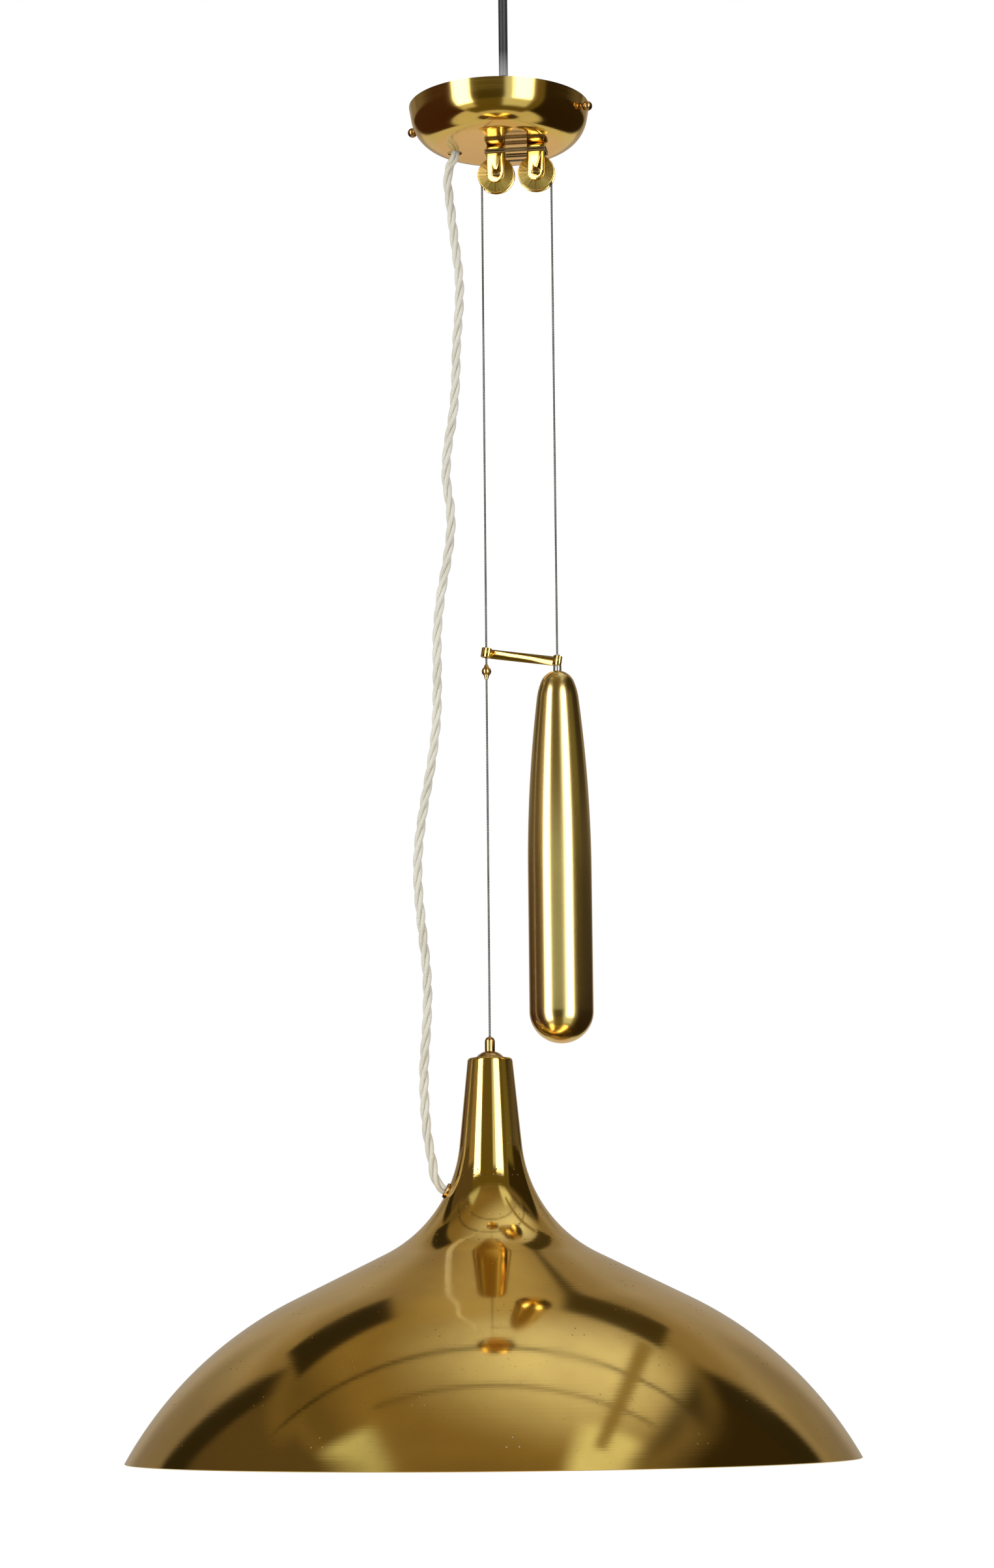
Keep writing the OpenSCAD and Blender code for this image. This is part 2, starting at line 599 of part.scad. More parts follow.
wire_shade_end_z = ferrule_z - ferrule_h / 2;
module wire_shade() {
    color(wire_grey) upright(shade_x, 0, wire_d, wire_shade_end_z, axle_z, $fn = 24);
}
module wire_weight() {
    color(wire_grey) upright(weight_x, 0, wire_d, weight_z, axle_z, $fn = 24);
}

// a ball between two small cones, clamped on the wire
module stop_bead() {
    neck = wire_d / 2 + 0.4;
    color(brass) translate([shade_x, 0, bead_z]) difference() {
        rotate_extrude() polygon(concat([[0, -bead_d * 0.85]], [[neck, -bead_d * 0.85]],
            [for (a = [-55:10:55]) bead_d / 2 * [cos(a), sin(a)]],
            [[neck, bead_d * 0.72], [0, bead_d * 0.72]]));
        cylinder(d = wire_bore_d, h = 3 * bead_d, center = true);
    }
}

// a flat strip on edge, curled round the shade wire at one end and round the collar at the other
module arm_ring(bore, w) {
    linear_extrude(w, center = true) difference() {
        circle(d = bore + 2 * arm_t);
        circle(d = bore);
    }
}
module guide_arm() {
    color(brass) translate([weight_x, 0, arm_ring_z]) rotate([0, arm_slope, 0]) difference() {
        union() {
            arm_ring(arm_ring_bore, arm_w);
            translate([-arm_len, 0, 0]) arm_ring(curl_bore_d, arm_w);
            // the strip leaves the back of both curls
            linear_extrude(arm_w, center = true) polygon([
                [0, arm_ring_bore / 2], [0, arm_ring_bore / 2 + arm_t],
                [-arm_len, curl_bore_d / 2 + arm_t], [-arm_len, curl_bore_d / 2]]);
        }
        cylinder(d = arm_ring_bore, h = arm_w + 2, center = true);
        translate([-arm_len, 0, 0]) cylinder(d = curl_bore_d, h = arm_w + 2, center = true);
    }
}

// the collar that the wire ends in: a foot inside the shell, a shoulder and a spigot for the arm
collar_foot_d = collar_d + 3;
collar_foot_z = weight_z - nose_r + sqrt(pow(nose_r - weight_wall, 2) - pow(collar_foot_d / 2, 2));
module weight_collar() {
    color(steel) translate([weight_x, 0, 0]) difference() {
        union() {
            upright(0, 0, collar_foot_d, collar_foot_z - 5, collar_foot_z - fit_gap);
            upright(0, 0, collar_d, collar_foot_z - 1, weight_z + collar_rise);
            upright(0, 0, spigot_d, collar_foot_z - 1, spigot_top_z);
        }
        upright(0, 0, wire_bore_d, collar_foot_z - 6, spigot_top_z + 1);
    }
}

module weight_shell() {
    color(brass) translate([weight_x, 0, weight_z]) difference() {
        rotate_extrude($fn = 96) difference() {
            polygon(concat([[0, -weight_h]], [[0, 0]], weight_line(0)));
            polygon(concat([[0, -weight_h + weight_wall]], [[0, -weight_wall]], weight_line(weight_wall)));
        }
        translate([0, 0, -nose_r]) cylinder(d = collar_d + 2 * fit_gap, h = nose_r + 1);
    }
}
module weight_core() {
    inset = weight_wall + fit_gap;
    color(steel) translate([weight_x, 0, weight_z]) rotate_extrude($fn = 96) difference() {
        polygon(concat([[0, -weight_h + inset]], [[0, -inset]], weight_line(inset)));
        translate([-1, -nose_r]) square([weight_d, nose_r + 1]);
    }
}

module wire_ferrule() {
    r = ferrule_d / 2;
    straight = ferrule_h - r;
    color(brass_red) translate([shade_x, 0, cap_flat_z]) difference() {
        rotate_extrude() polygon(concat([[0, 0], [r, 0]],
            [for (i = [0:8]) let (a = 90 * i / 8) [r * cos(a), straight + r * sin(a)]]));
        translate([0, 0, -1]) cylinder(d = wire_bore_d, h = ferrule_h + 2);
    }
}

module neck_cap() {
    centre = cap_h - cap_dome_r;
    a0 = asin(-centre / cap_dome_r);
    a1 = acos(ferrule_d / 2 / cap_dome_r);
    color(brass) translate([shade_x, 0, neck_z]) difference() {
        rotate_extrude() polygon(concat([[0, 0]],
            [for (i = [0:10]) let (a = a0 + (a1 - a0) * i / 10)
                [cap_dome_r * cos(a), centre + cap_dome_r * sin(a)]],
            [[0, cap_flat_z - neck_z]]));
        translate([0, 0, -1]) cylinder(d = stem_d, h = stem_top_z - neck_z + 1);
        cylinder(d = wire_bore_d, h = cap_h + 1);
    }
}

module shade() {
    n = len(shade_line(0));
    color(brass) difference() {
        translate([shade_x, 0, shade_z]) difference() {
            rotate_extrude($fn = 128) polygon(concat(shade_line(0), [[0, shade_h]],
                [[0, shade_h - shade_wall]], [for (i = [n - 1:-1:0]) shade_line(shade_wall)[i]]));
            translate([0, 0, shade_h - 10]) cylinder(d = stem_d + 2 * fit_gap, h = 12);
        }
        at_inlet() translate([0, 0, -6]) cylinder(d = bush_sleeve_d + 2 * fit_gap, h = 12);
    }
}

module at_inlet() {
    translate(inlet_at) rotate([0, 0, inlet_az]) rotate([0, 90 - inlet_slope, 0]) children();
}

module neck_washer() {
    color(zinc) translate([shade_x, 0, 0]) difference() {
        upright(0, 0, 2 * stem_d + 1, neck_z - shade_wall - 1.2, neck_z - shade_wall);
        upright(0, 0, stem_d + 2 * fit_gap, neck_z - 9, neck_z);
    }
}
module neck_nut() {
    nut_top = neck_z - shade_wall - 1.2;
    color(zinc) translate([shade_x, 0, nut_top - 5]) difference() {
        cylinder(d = (stem_d + 6) / cos(30), h = 5, $fn = 6);
        translate([0, 0, -1]) cylinder(d = stem_d, h = 7);
    }
}

module stem() {
    color(zinc) translate([shade_x, 0, 0]) difference() {
        upright(0, 0, stem_d, holder_z - 6, stem_top_z);
        upright(0, 0, stem_d - 2 * stem_wall, holder_z - 7, stem_top_z + 1);
    }
}

// the wire's end below the cap, in a crimped barrel that bears on the cap's underside
module wire_stop() {
    color(steel) translate([shade_x, 0, 0]) {
        upright(0, 0, wire_d, stem_top_z - 12, wire_shade_end_z, $fn = 24);
        upright(0, 0, stem_d - 2 * stem_wall - 1, stem_top_z - 10, stem_top_z);
    }
}

module cord_bush() {
    color(brass) at_inlet() difference() {
        union() {
            rotate_extrude() polygon([[0, bush_seat], [bush_flange_d / 2, bush_seat],
                [bush_flange_d / 2, bush_proud - 0.5], [bush_flange_d / 2 - 0.5, bush_proud],
                [0, bush_proud]]);
            translate([0, 0, bush_proud - bush_len]) cylinder(d = bush_sleeve_d, h = bush_len - 0.5);
        }
        translate([0, 0, -bush_len]) cylinder(d = bush_bore_d, h = 2 * bush_len);
    }
}

module inner_cord() {
    color(cream) tube(smooth_path(inner_path, 4), cord_d, 8, [0, 1, 0.2]);
}

module holder_cap() {
    r = holder_d / 2 - 1;
    color(black) translate([shade_x, 0, skirt_z]) difference() {
        rotate_extrude() polygon(concat([[r - 2, 0], [r, 0], [r, holder_cap_h - 12]],
            [for (i = [1:8]) let (a = 90 * i / 8) [r - 12 + 12 * cos(a), holder_cap_h - 12 + 12 * sin(a)]],
            [[0, holder_cap_h], [0, holder_cap_h - 2]],
            [for (i = [8:-1:0]) let (a = 90 * i / 8)
                [r - 12 + 10 * cos(a), holder_cap_h - 12 + 10 * sin(a)]]));
        cylinder(d = stem_d, h = holder_cap_h + 2);
        translate([-12, 0, 0]) cylinder(d = cord_d + 2 * fit_gap, h = holder_cap_h + 2);
    }
}
module holder_insert() {
    color(white) translate([shade_x, 0, insert_z]) difference() {
        union() {
            cylinder(r = holder_d / 2 - skirt_wall - fit_gap, h = insert_h);
            translate([0, 0, -well_h]) cylinder(r = shell_r + 0.8, h = well_h + 1);
        }
        translate([0, 0, -well_h - 1]) cylinder(r = shell_r - 2.5, h = well_h + 1);
        for (s = [-1, 1]) translate([s * 7, 0, -1]) cylinder(d = 3.2, h = insert_h + 2);
    }
}
module holder_contact() {
    color(brass) translate([shade_x, 0, insert_z]) {
        translate([-2.5, -9, -0.8]) cube([5, 14, 0.8]);
        translate([0, 0, -2.6]) cylinder(d = 5, h = 2);
    }
}
module holder_shell() {
    color(brass) translate([shade_x, 0, 0]) difference() {
        upright(0, 0, 2 * shell_r, shell_z - screw_len, shell_z);
        upright(0, 0, screw_bore_d, shell_z - screw_len - 1, shell_z + 1);
    }
}
module holder_skirt() {
    color(black) translate([shade_x, 0, 0]) difference() {
        upright(0, 0, holder_d, skirt_z - skirt_h, skirt_z);
        upright(0, 0, holder_d - 2 * skirt_wall, skirt_z - skirt_h + 3, skirt_z + 1);
        upright(0, 0, 2 * shell_r + 2 * fit_gap, skirt_z - skirt_h - 1, skirt_z);
    }
}

module lamp_cord() {
    color(cream) tube(smooth_path(cord_path, 2), cord_d, 10, [0, 1, 0]);
}

ceiling_fitting();
supply_cable();
cable_grip();
ceiling_cup();
ceiling_bracket();
side_screws();
stiffening_plate();
terminal_block();
spare_cord();
yoke_left();
yoke_right();
yoke_screws();
yoke_nuts();
axles();
axle_nuts();
sheave_left();
sheave_right();
wire_over();
wire_hitch();
wire_shade();
wire_weight();
stop_bead();
guide_arm();
weight_collar();
weight_shell();
weight_core();
wire_ferrule();
neck_cap();
shade();
neck_washer();
neck_nut();
stem();
wire_stop();
cord_bush();
inner_cord();
holder_cap();
holder_insert();
holder_contact();
holder_shell();
holder_skirt();
lamp_cord();
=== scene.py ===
# %% [markdown]
# # A rise and fall pendant
#
# A spun brass shade hangs on a wire that runs over two sheaves to a counterweight. This lesson dresses the
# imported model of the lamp: it keeps the model's places and sizes, and gives each piece its real finish.
# Lengths are in metres, and the origin is on the ceiling, so nearly every height below is negative.

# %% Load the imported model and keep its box
import json
import math

import bmesh
import bpy
from mathutils import Matrix, Quaternion, Vector
from mathutils.kdtree import KDTree

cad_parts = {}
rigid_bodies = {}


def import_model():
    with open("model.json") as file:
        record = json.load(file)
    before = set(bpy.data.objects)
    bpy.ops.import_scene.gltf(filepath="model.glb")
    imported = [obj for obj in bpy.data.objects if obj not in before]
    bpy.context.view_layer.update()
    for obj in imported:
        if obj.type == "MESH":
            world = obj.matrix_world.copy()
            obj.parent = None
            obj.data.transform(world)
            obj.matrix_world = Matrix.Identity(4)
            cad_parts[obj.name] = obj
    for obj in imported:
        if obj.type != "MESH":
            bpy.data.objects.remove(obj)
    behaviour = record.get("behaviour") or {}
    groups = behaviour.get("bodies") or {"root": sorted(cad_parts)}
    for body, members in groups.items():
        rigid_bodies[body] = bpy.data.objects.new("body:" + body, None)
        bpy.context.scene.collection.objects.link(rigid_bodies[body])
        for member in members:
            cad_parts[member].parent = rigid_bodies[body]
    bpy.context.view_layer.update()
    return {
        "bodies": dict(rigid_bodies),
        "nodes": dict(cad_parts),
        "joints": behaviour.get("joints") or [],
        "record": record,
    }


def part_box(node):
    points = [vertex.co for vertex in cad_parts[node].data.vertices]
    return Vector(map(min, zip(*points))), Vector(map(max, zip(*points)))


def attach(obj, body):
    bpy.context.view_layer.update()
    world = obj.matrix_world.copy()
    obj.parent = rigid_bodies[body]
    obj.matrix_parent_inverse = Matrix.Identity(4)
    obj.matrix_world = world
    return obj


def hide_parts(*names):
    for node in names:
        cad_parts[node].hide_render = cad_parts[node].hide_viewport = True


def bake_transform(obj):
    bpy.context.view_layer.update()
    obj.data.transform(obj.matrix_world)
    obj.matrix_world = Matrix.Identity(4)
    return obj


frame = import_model()
MM = 0.001
UP = Vector((0, 0, 1))

# %% [markdown]
# ## The camera
#
# The lamp was photographed from a little above the rim of its shade, looking slightly up, with a long lens.
# A long lens keeps upright edges nearly parallel. Blender measures a camera's field of view on the long side
# of the picture, so the focal length in pixels turns into millimetres by that side.

# %% Place the camera
PICTURE_HEIGHT_PX = 2408
FOCAL_PX = 5506
SENSOR_MM = 36
VIEW_AZIMUTH = math.radians(8)
VIEW_TILT = math.radians(9.08)
VIEW_ROLL = math.radians(0.55)
VIEW_DISTANCE = 2.480
VIEW_HEIGHT = -0.991
VIEW_ASIDE = -0.0061

aside = Vector((math.cos(VIEW_AZIMUTH), math.sin(VIEW_AZIMUTH), 0))
backward = Vector((math.sin(VIEW_AZIMUTH), -math.cos(VIEW_AZIMUTH), 0))
forward = UP * math.sin(VIEW_TILT) - backward * math.cos(VIEW_TILT)

camera = bpy.data.objects.new("camera", bpy.data.cameras.new("camera"))
bpy.context.scene.collection.objects.link(camera)
camera.data.sensor_width = SENSOR_MM
camera.data.lens = FOCAL_PX / PICTURE_HEIGHT_PX * SENSOR_MM
camera.location = aside * VIEW_ASIDE + backward * VIEW_DISTANCE + UP * VIEW_HEIGHT
camera.rotation_mode = "QUATERNION"
roll = Quaternion((0, 0, 1), -VIEW_ROLL)
camera.rotation_quaternion = forward.to_track_quat("-Z", "Y") @ roll
bpy.context.scene.camera = camera
print("lens %.1f mm" % camera.data.lens)

# %% [markdown]
# ## Helpers for outlines and pieces
#
# Nearly every piece of this lamp was turned on a lathe or spun over a former, so its shape is one outline
# turned about an axis. An outline is a list of (radius, height) points, and its round stretches come from
# one small function. A spun mesh starts from that outline and Blender's spin operator.

# %% Arcs, and meshes finished into pieces
def arc(centre, radius, start, end, steps):
    """Points along an arc, with its angles in degrees."""
    turns = [math.radians(start + (end - start) * i / steps) for i in range(steps + 1)]
    return [(centre[0] + radius * math.cos(t), centre[1] + radius * math.sin(t)) for t in turns]


def smooth_but_creases(bm, crease_degrees=32):
    """Round faces shade smoothly, and edges sharper than the crease stay crisp."""
    for face in bm.faces:
        face.smooth = True
    for edge in bm.edges:
        edge.smooth = edge.is_manifold and edge.calc_face_angle(0) < math.radians(crease_degrees)


def make_piece(name, bm, materials, crease_degrees=32):
    """A bmesh becomes an object at the origin, with its place in its mesh."""
    smooth_but_creases(bm, crease_degrees)
    mesh = bpy.data.meshes.new(name)
    bm.to_mesh(mesh)
    bm.free()
    for material in materials:
        mesh.materials.append(material)
    piece = bpy.data.objects.new(name, mesh)
    bpy.context.scene.collection.objects.link(piece)
    print("%s: %d faces" % (name, len(mesh.polygons)))
    return piece


def settle(piece, body, slot, *nodes):
    """The piece rides on a body and stands for its nodes, which are hidden. The slot argument is not used."""
    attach(piece, body)
    if nodes:
        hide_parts(*nodes)
    return piece


def spin_outline(outline, centre_x, steps, closed=True):
    """Spin an outline about the upright axis at centre_x. Points on the axis close into poles."""
    bm = bmesh.new()
    ring = [bm.verts.new((centre_x + r, 0, z)) for r, z in outline]
    edges = [bm.edges.new(pair) for pair in zip(ring, ring[1:])]
    if closed:
        edges.append(bm.edges.new((ring[-1], ring[0])))
    bmesh.ops.spin(bm, geom=ring + edges, cent=(centre_x, 0, 0), axis=UP, angle=math.tau, steps=steps,
                   use_merge=True)
    bmesh.ops.remove_doubles(bm, verts=bm.verts, dist=1e-6)
    bmesh.ops.recalc_face_normals(bm, faces=bm.faces)
    return bm


def middle(node):
    """The middle of a node's box."""
    low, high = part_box(node)
    return (low + high) / 2


# %% [markdown]
# ## Places that the pieces share
#
# The model says where everything is. The shade hangs on the left wire and the counterweight on the right
# one, and the other levels are read from the boxes of the nodes.

# %% Read the axes and levels from the model
SHADE_X = middle("shade").x
WEIGHT_X = middle("weight_shell").x
NECK_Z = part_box("shade")[1].z
CUP_RIM_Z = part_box("ceiling_cup")[1].z
CUP_FLOOR_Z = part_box("ceiling_cup")[0].z
AXLE_Z = middle("sheave_left").z
print("shade axis %.4f, weight axis %.4f, neck %.4f" % (SHADE_X, WEIGHT_X, NECK_Z))

# %% [markdown]
# ## Finishes: small tools for nodes
#
# A material is a little network of nodes. These helpers add a node, set its values and wire it, so that each
# finish below reads as a list of what it is made of. Effects that several finishes share are node groups.

# %% Node helpers
def add_node(tree, kind, inputs=None, **settings):
    """A node with its settings, and its inputs linked from sockets or set to values."""
    node = tree.nodes.new(kind)
    for name, value in settings.items():
        setattr(node, name, value)
    for name, value in (inputs or {}).items():
        socket = node.inputs[name]
        if isinstance(value, bpy.types.NodeSocket):
            tree.links.new(value, socket)
        else:
            socket.default_value = value
    return node


def maths(tree, operation, *values):
    """The result of one Math node."""
    node = add_node(tree, "ShaderNodeMath", dict(enumerate(values)), operation=operation)
    return node.outputs[0]


def mix_colors(tree, share, a, b):
    """Colour a where the share is 0 and colour b where it is 1. Each is a socket or a colour."""
    mix = add_node(tree, "ShaderNodeMix", data_type="RGBA")
    # a mix node for colours keeps its factor in input 0, its colours in 6 and 7, and its result in output 2
    for socket, value in ((0, share), (6, a), (7, b)):
        if isinstance(value, tuple):
            mix.inputs[socket].default_value = (*value[:3], 1)
        else:
            tree.links.new(value, mix.inputs[socket])
    return mix.outputs[2]


def new_group(name, inputs, outputs):
    """An empty node group with named sockets: {name: (type, default)} and {name: type}."""
    group = bpy.data.node_groups.new(name, "ShaderNodeTree")
    for socket, (kind, default) in inputs.items():
        group.interface.new_socket(socket, in_out="INPUT", socket_type=kind).default_value = default
    for socket, kind in outputs.items():
        group.interface.new_socket(socket, in_out="OUTPUT", socket_type=kind)
    return group, group.nodes.new("NodeGroupInput"), group.nodes.new("NodeGroupOutput")


def new_material(name):
    """A material with only its Principled BSDF and output."""
    material = bpy.data.materials.new(name)
    material.use_nodes = True
    return material, material.node_tree, material.node_tree.nodes["Principled BSDF"]


FLOAT, COLOR, VECTOR = "NodeSocketFloat", "NodeSocketColor", "NodeSocketVector"

# %% [markdown]
# ## Lathe marks and tarnish
#
# Spun brass keeps faint rings from the lathe and the polishing mop. They follow the turning axis, so the
# group measures each point's distance from that axis and its height, and feeds both to a noise: it is the
# same all the way round, which makes rings. Tarnish is a slow, cloudy change of colour and gloss, with small
# dark specks where the lacquer has been scratched through.

# %% Group: rings about an upright axis
rings, rings_in, rings_out = new_group(
    "lathe_rings", {"Axis X": (FLOAT, 0.0), "Fineness": (FLOAT, 900.0)}, {"Height": FLOAT})
place = add_node(rings, "ShaderNodeTexCoord").outputs["Object"]
parts = add_node(rings, "ShaderNodeSeparateXYZ", {0: place})
across = maths(rings, "SUBTRACT", parts.outputs["X"], rings_in.outputs["Axis X"])
squares = maths(rings, "ADD", maths(rings, "MULTIPLY", across, across),
                maths(rings, "MULTIPLY", parts.outputs["Y"], parts.outputs["Y"]))
radius = maths(rings, "SQRT", squares)
along = add_node(rings, "ShaderNodeCombineXYZ", {"X": radius, "Y": parts.outputs["Z"]})
ring_noise = add_node(rings, "ShaderNodeTexNoise",
                      {"Vector": along.outputs[0], "Scale": rings_in.outputs["Fineness"], "Detail": 2.0},
                      noise_dimensions="2D")
rings.links.new(ring_noise.outputs["Fac"], rings_out.inputs["Height"])
print("group lathe_rings")

# %% Group: tarnish clouds and specks
tarnish, tarnish_in, tarnish_out = new_group(
    "tarnish",
    {"Clean": (COLOR, (0.8, 0.55, 0.2, 1)), "Dull": (COLOR, (0.5, 0.3, 0.1, 1)), "Amount": (FLOAT, 0.3),
     "Smooth": (FLOAT, 0.1), "Rough": (FLOAT, 0.3)},
    {"Color": COLOR, "Roughness": FLOAT})
place = add_node(tarnish, "ShaderNodeTexCoord").outputs["Object"]
clouds = add_node(tarnish, "ShaderNodeTexNoise", {"Vector": place, "Scale": 14.0, "Detail": 5.0})
cloud_mask = add_node(tarnish, "ShaderNodeMapRange",
                      {"Value": clouds.outputs["Fac"], "From Min": 0.4, "From Max": 0.75})
specks = add_node(tarnish, "ShaderNodeTexNoise", {"Vector": place, "Scale": 420.0, "Detail": 1.0})
speck_mask = add_node(tarnish, "ShaderNodeMapRange",
                      {"Value": specks.outputs["Fac"], "From Min": 0.70, "From Max": 0.76})
both = maths(tarnish, "MAXIMUM", cloud_mask.outputs[0], speck_mask.outputs[0])
share = maths(tarnish, "MULTIPLY", both, tarnish_in.outputs["Amount"])
mixed = mix_colors(tarnish, share, tarnish_in.outputs["Clean"], tarnish_in.outputs["Dull"])
tarnish.links.new(mixed, tarnish_out.inputs["Color"])
gloss = add_node(tarnish, "ShaderNodeMapRange",
                 {"Value": share, "To Min": tarnish_in.outputs["Smooth"], "To Max": tarnish_in.outputs["Rough"]})
tarnish.links.new(gloss.outputs[0], tarnish_out.inputs["Roughness"])
print("group tarnish")

# %% [markdown]
# ## Brass
#
# Every brass piece is the same metal with another finish. Metal takes its whole colour from its reflections,
# so the base colour is what a white wall looks like in it. The spun pieces are polished almost to a mirror,
# the sheaves and the straps are a little duller, and the small turned pieces are redder.

# %% The brass finishes
def brass(name, clean, dull, amount, smooth, rough, axis_x=0.0, fineness=900.0, ring_depth=0.0, bow=None):
    """Polished brass with tarnish, lathe rings where ring_depth isn't 0, and a bow for strips that lie uneven."""
    material, tree, shader = new_material(name)
    shader.inputs["Metallic"].default_value = 1.0
    worn = add_node(tree, "ShaderNodeGroup", node_tree=tarnish)
    for socket, value in (("Clean", clean), ("Dull", dull), ("Amount", amount), ("Smooth", smooth),
                          ("Rough", rough)):
        worn.inputs[socket].default_value = value
    tree.links.new(worn.outputs["Color"], shader.inputs["Base Color"])
    tree.links.new(worn.outputs["Roughness"], shader.inputs["Roughness"])
    if ring_depth:
        marks = add_node(tree, "ShaderNodeGroup", node_tree=rings)
        marks.inputs["Axis X"].default_value = axis_x
        marks.inputs["Fineness"].default_value = fineness
        bump = add_node(tree, "ShaderNodeBump",
                        {"Height": marks.outputs["Height"], "Strength": 1.0, "Distance": ring_depth})
        tree.links.new(bump.outputs[0], shader.inputs["Normal"])
    if bow:
        place = add_node(tree, "ShaderNodeTexCoord").outputs["Object"]
        waves = add_node(tree, "ShaderNodeTexNoise", {"Vector": place, "Scale": BOW_SCALE, "Detail": 0.0})
        amount = add_node(tree, "ShaderNodeMapRange",
                          {"Value": waves.outputs["Fac"], "From Min": 0.35, "From Max": 0.6, "To Min": 0.85,
                           "To Max": 1.1})
        lean = add_node(tree, "ShaderNodeVectorMath", {0: tuple(bow)}, operation="SCALE")
        tree.links.new(amount.outputs[0], lean.inputs["Scale"])
        leaning = add_node(tree, "ShaderNodeVectorMath",
                           {0: add_node(tree, "ShaderNodeNewGeometry").outputs["Normal"], 1: lean.outputs[0]},
                           operation="ADD")
        straight = add_node(tree, "ShaderNodeVectorMath", {0: leaning.outputs[0]}, operation="NORMALIZE")
        tree.links.new(straight.outputs[0], shader.inputs["Normal"])
    return material


BOW_SCALE = 45.0
STRIP_BOW = (-0.29, -0.04, 0.0)
SOFT_GOLD = (0.80, 0.60, 0.25, 1)
GOLD = (0.80, 0.555, 0.17, 1)
RED_GOLD = (0.58, 0.38, 0.16, 1)
BROWN = (0.34, 0.19, 0.06, 1)
brass_shade = brass("brass_shade", GOLD, BROWN, 0.35, 0.07, 0.30, SHADE_X, 700.0, 0.000012)
brass_weight = brass("brass_weight", SOFT_GOLD, BROWN, 0.25, 0.20, 0.32, WEIGHT_X, 900.0, 0.00001)
brass_cup = brass("brass_cup", GOLD, BROWN, 0.25, 0.10, 0.30, 0.0, 800.0, 0.00001)
brass_sheave = brass("brass_sheave", GOLD, BROWN, 0.45, 0.20, 0.38)
brass_strap = brass("brass_strap", GOLD, BROWN, 0.30, 0.12, 0.28, bow=STRIP_BOW)
brass_turned = brass("brass_turned", RED_GOLD, BROWN, 0.4, 0.14, 0.34)
brass_screw = brass("brass_screw", (0.40, 0.24, 0.11, 1), BROWN, 0.5, 0.20, 0.40)
print("brass finishes: 7")

# %% [markdown]
# ## The other finishes
#
# The hidden parts are plated steel, black insulating plastic, porcelain and enamel. Each one has its own small
# unevenness: plating is spangled, moulded plastic has a faint orange-peel skin, and sprayed enamel too.

# %% Plain metals, plastics, porcelain and enamel
def plain_finish(name, color, metallic, low_rough, high_rough, scale, dent=0.0):
    """A finish whose gloss varies a little, with an uneven skin where dent isn't 0."""
    material, tree, shader = new_material(name)
    shader.inputs["Base Color"].default_value = color
    shader.inputs["Metallic"].default_value = metallic
    place = add_node(tree, "ShaderNodeTexCoord").outputs["Object"]
    noise = add_node(tree, "ShaderNodeTexNoise", {"Vector": place, "Scale": scale, "Detail": 3.0})
    gloss = add_node(tree, "ShaderNodeMapRange",
                     {"Value": noise.outputs["Fac"], "From Min": 0.3, "From Max": 0.7,
                      "To Min": low_rough, "To Max": high_rough})
    tree.links.new(gloss.outputs[0], shader.inputs["Roughness"])
    if dent:
        bump = add_node(tree, "ShaderNodeBump",
                        {"Height": noise.outputs["Fac"], "Strength": 1.0, "Distance": dent})
        tree.links.new(bump.outputs[0], shader.inputs["Normal"])
    return material


zinc = plain_finish("zinc_plate", (0.55, 0.56, 0.58, 1), 1.0, 0.28, 0.48, 260.0)
steel = plain_finish("bright_steel", (0.50, 0.49, 0.47, 1), 1.0, 0.22, 0.40, 400.0)
iron = plain_finish("raw_iron", (0.16, 0.15, 0.14, 1), 1.0, 0.45, 0.70, 300.0, 0.0001)
black_plastic = plain_finish("black_plastic", (0.018, 0.017, 0.016, 1), 0.0, 0.28, 0.42, 900.0, 0.00002)
black_sheath = plain_finish("black_sheath", (0.022, 0.022, 0.024, 1), 0.0, 0.38, 0.52, 700.0, 0.00003)
porcelain = plain_finish("porcelain", (0.84, 0.83, 0.79, 1), 0.0, 0.10, 0.22, 500.0)
enamel = plain_finish("white_enamel", (0.83, 0.81, 0.76, 1), 0.0, 0.30, 0.42, 1200.0, 0.00001)
tinned_wire = plain_finish("tinned_wire", (0.30, 0.235, 0.14, 1), 1.0, 0.35, 0.50, 300.0)
print("plain finishes: 8")

# %% [markdown]
# ## Threads and strands
#
# The lamp cord is three insulated cores in a cotton braid, twisted together, and the suspension wire is a
# fine steel rope. On both, the weave winds round the strand, so it is drawn in the strand's own UV map:
# U goes once round, and V counts metres along.

# %% Group: a weave on a strand's UV map
weave, weave_in, weave_out = new_group(
    "strand_weave", {"Turns": (FLOAT, 6.0), "Per Metre": (FLOAT, 700.0)}, {"Height": FLOAT})
uv = add_node(weave, "ShaderNodeSeparateXYZ", {0: add_node(weave, "ShaderNodeUVMap").outputs[0]})
round_part = maths(weave, "MULTIPLY", maths(weave, "MULTIPLY", uv.outputs["X"], weave_in.outputs["Turns"]),
                   math.tau)
long_part = maths(weave, "MULTIPLY", maths(weave, "MULTIPLY", uv.outputs["Y"], weave_in.outputs["Per Metre"]),
                  math.tau)
one_way = maths(weave, "SINE", maths(weave, "ADD", round_part, long_part))
other_way = maths(weave, "SINE", maths(weave, "SUBTRACT", round_part, long_part))
weave.links.new(maths(weave, "MULTIPLY", one_way, other_way), weave_out.inputs["Height"])
print("group strand_weave")

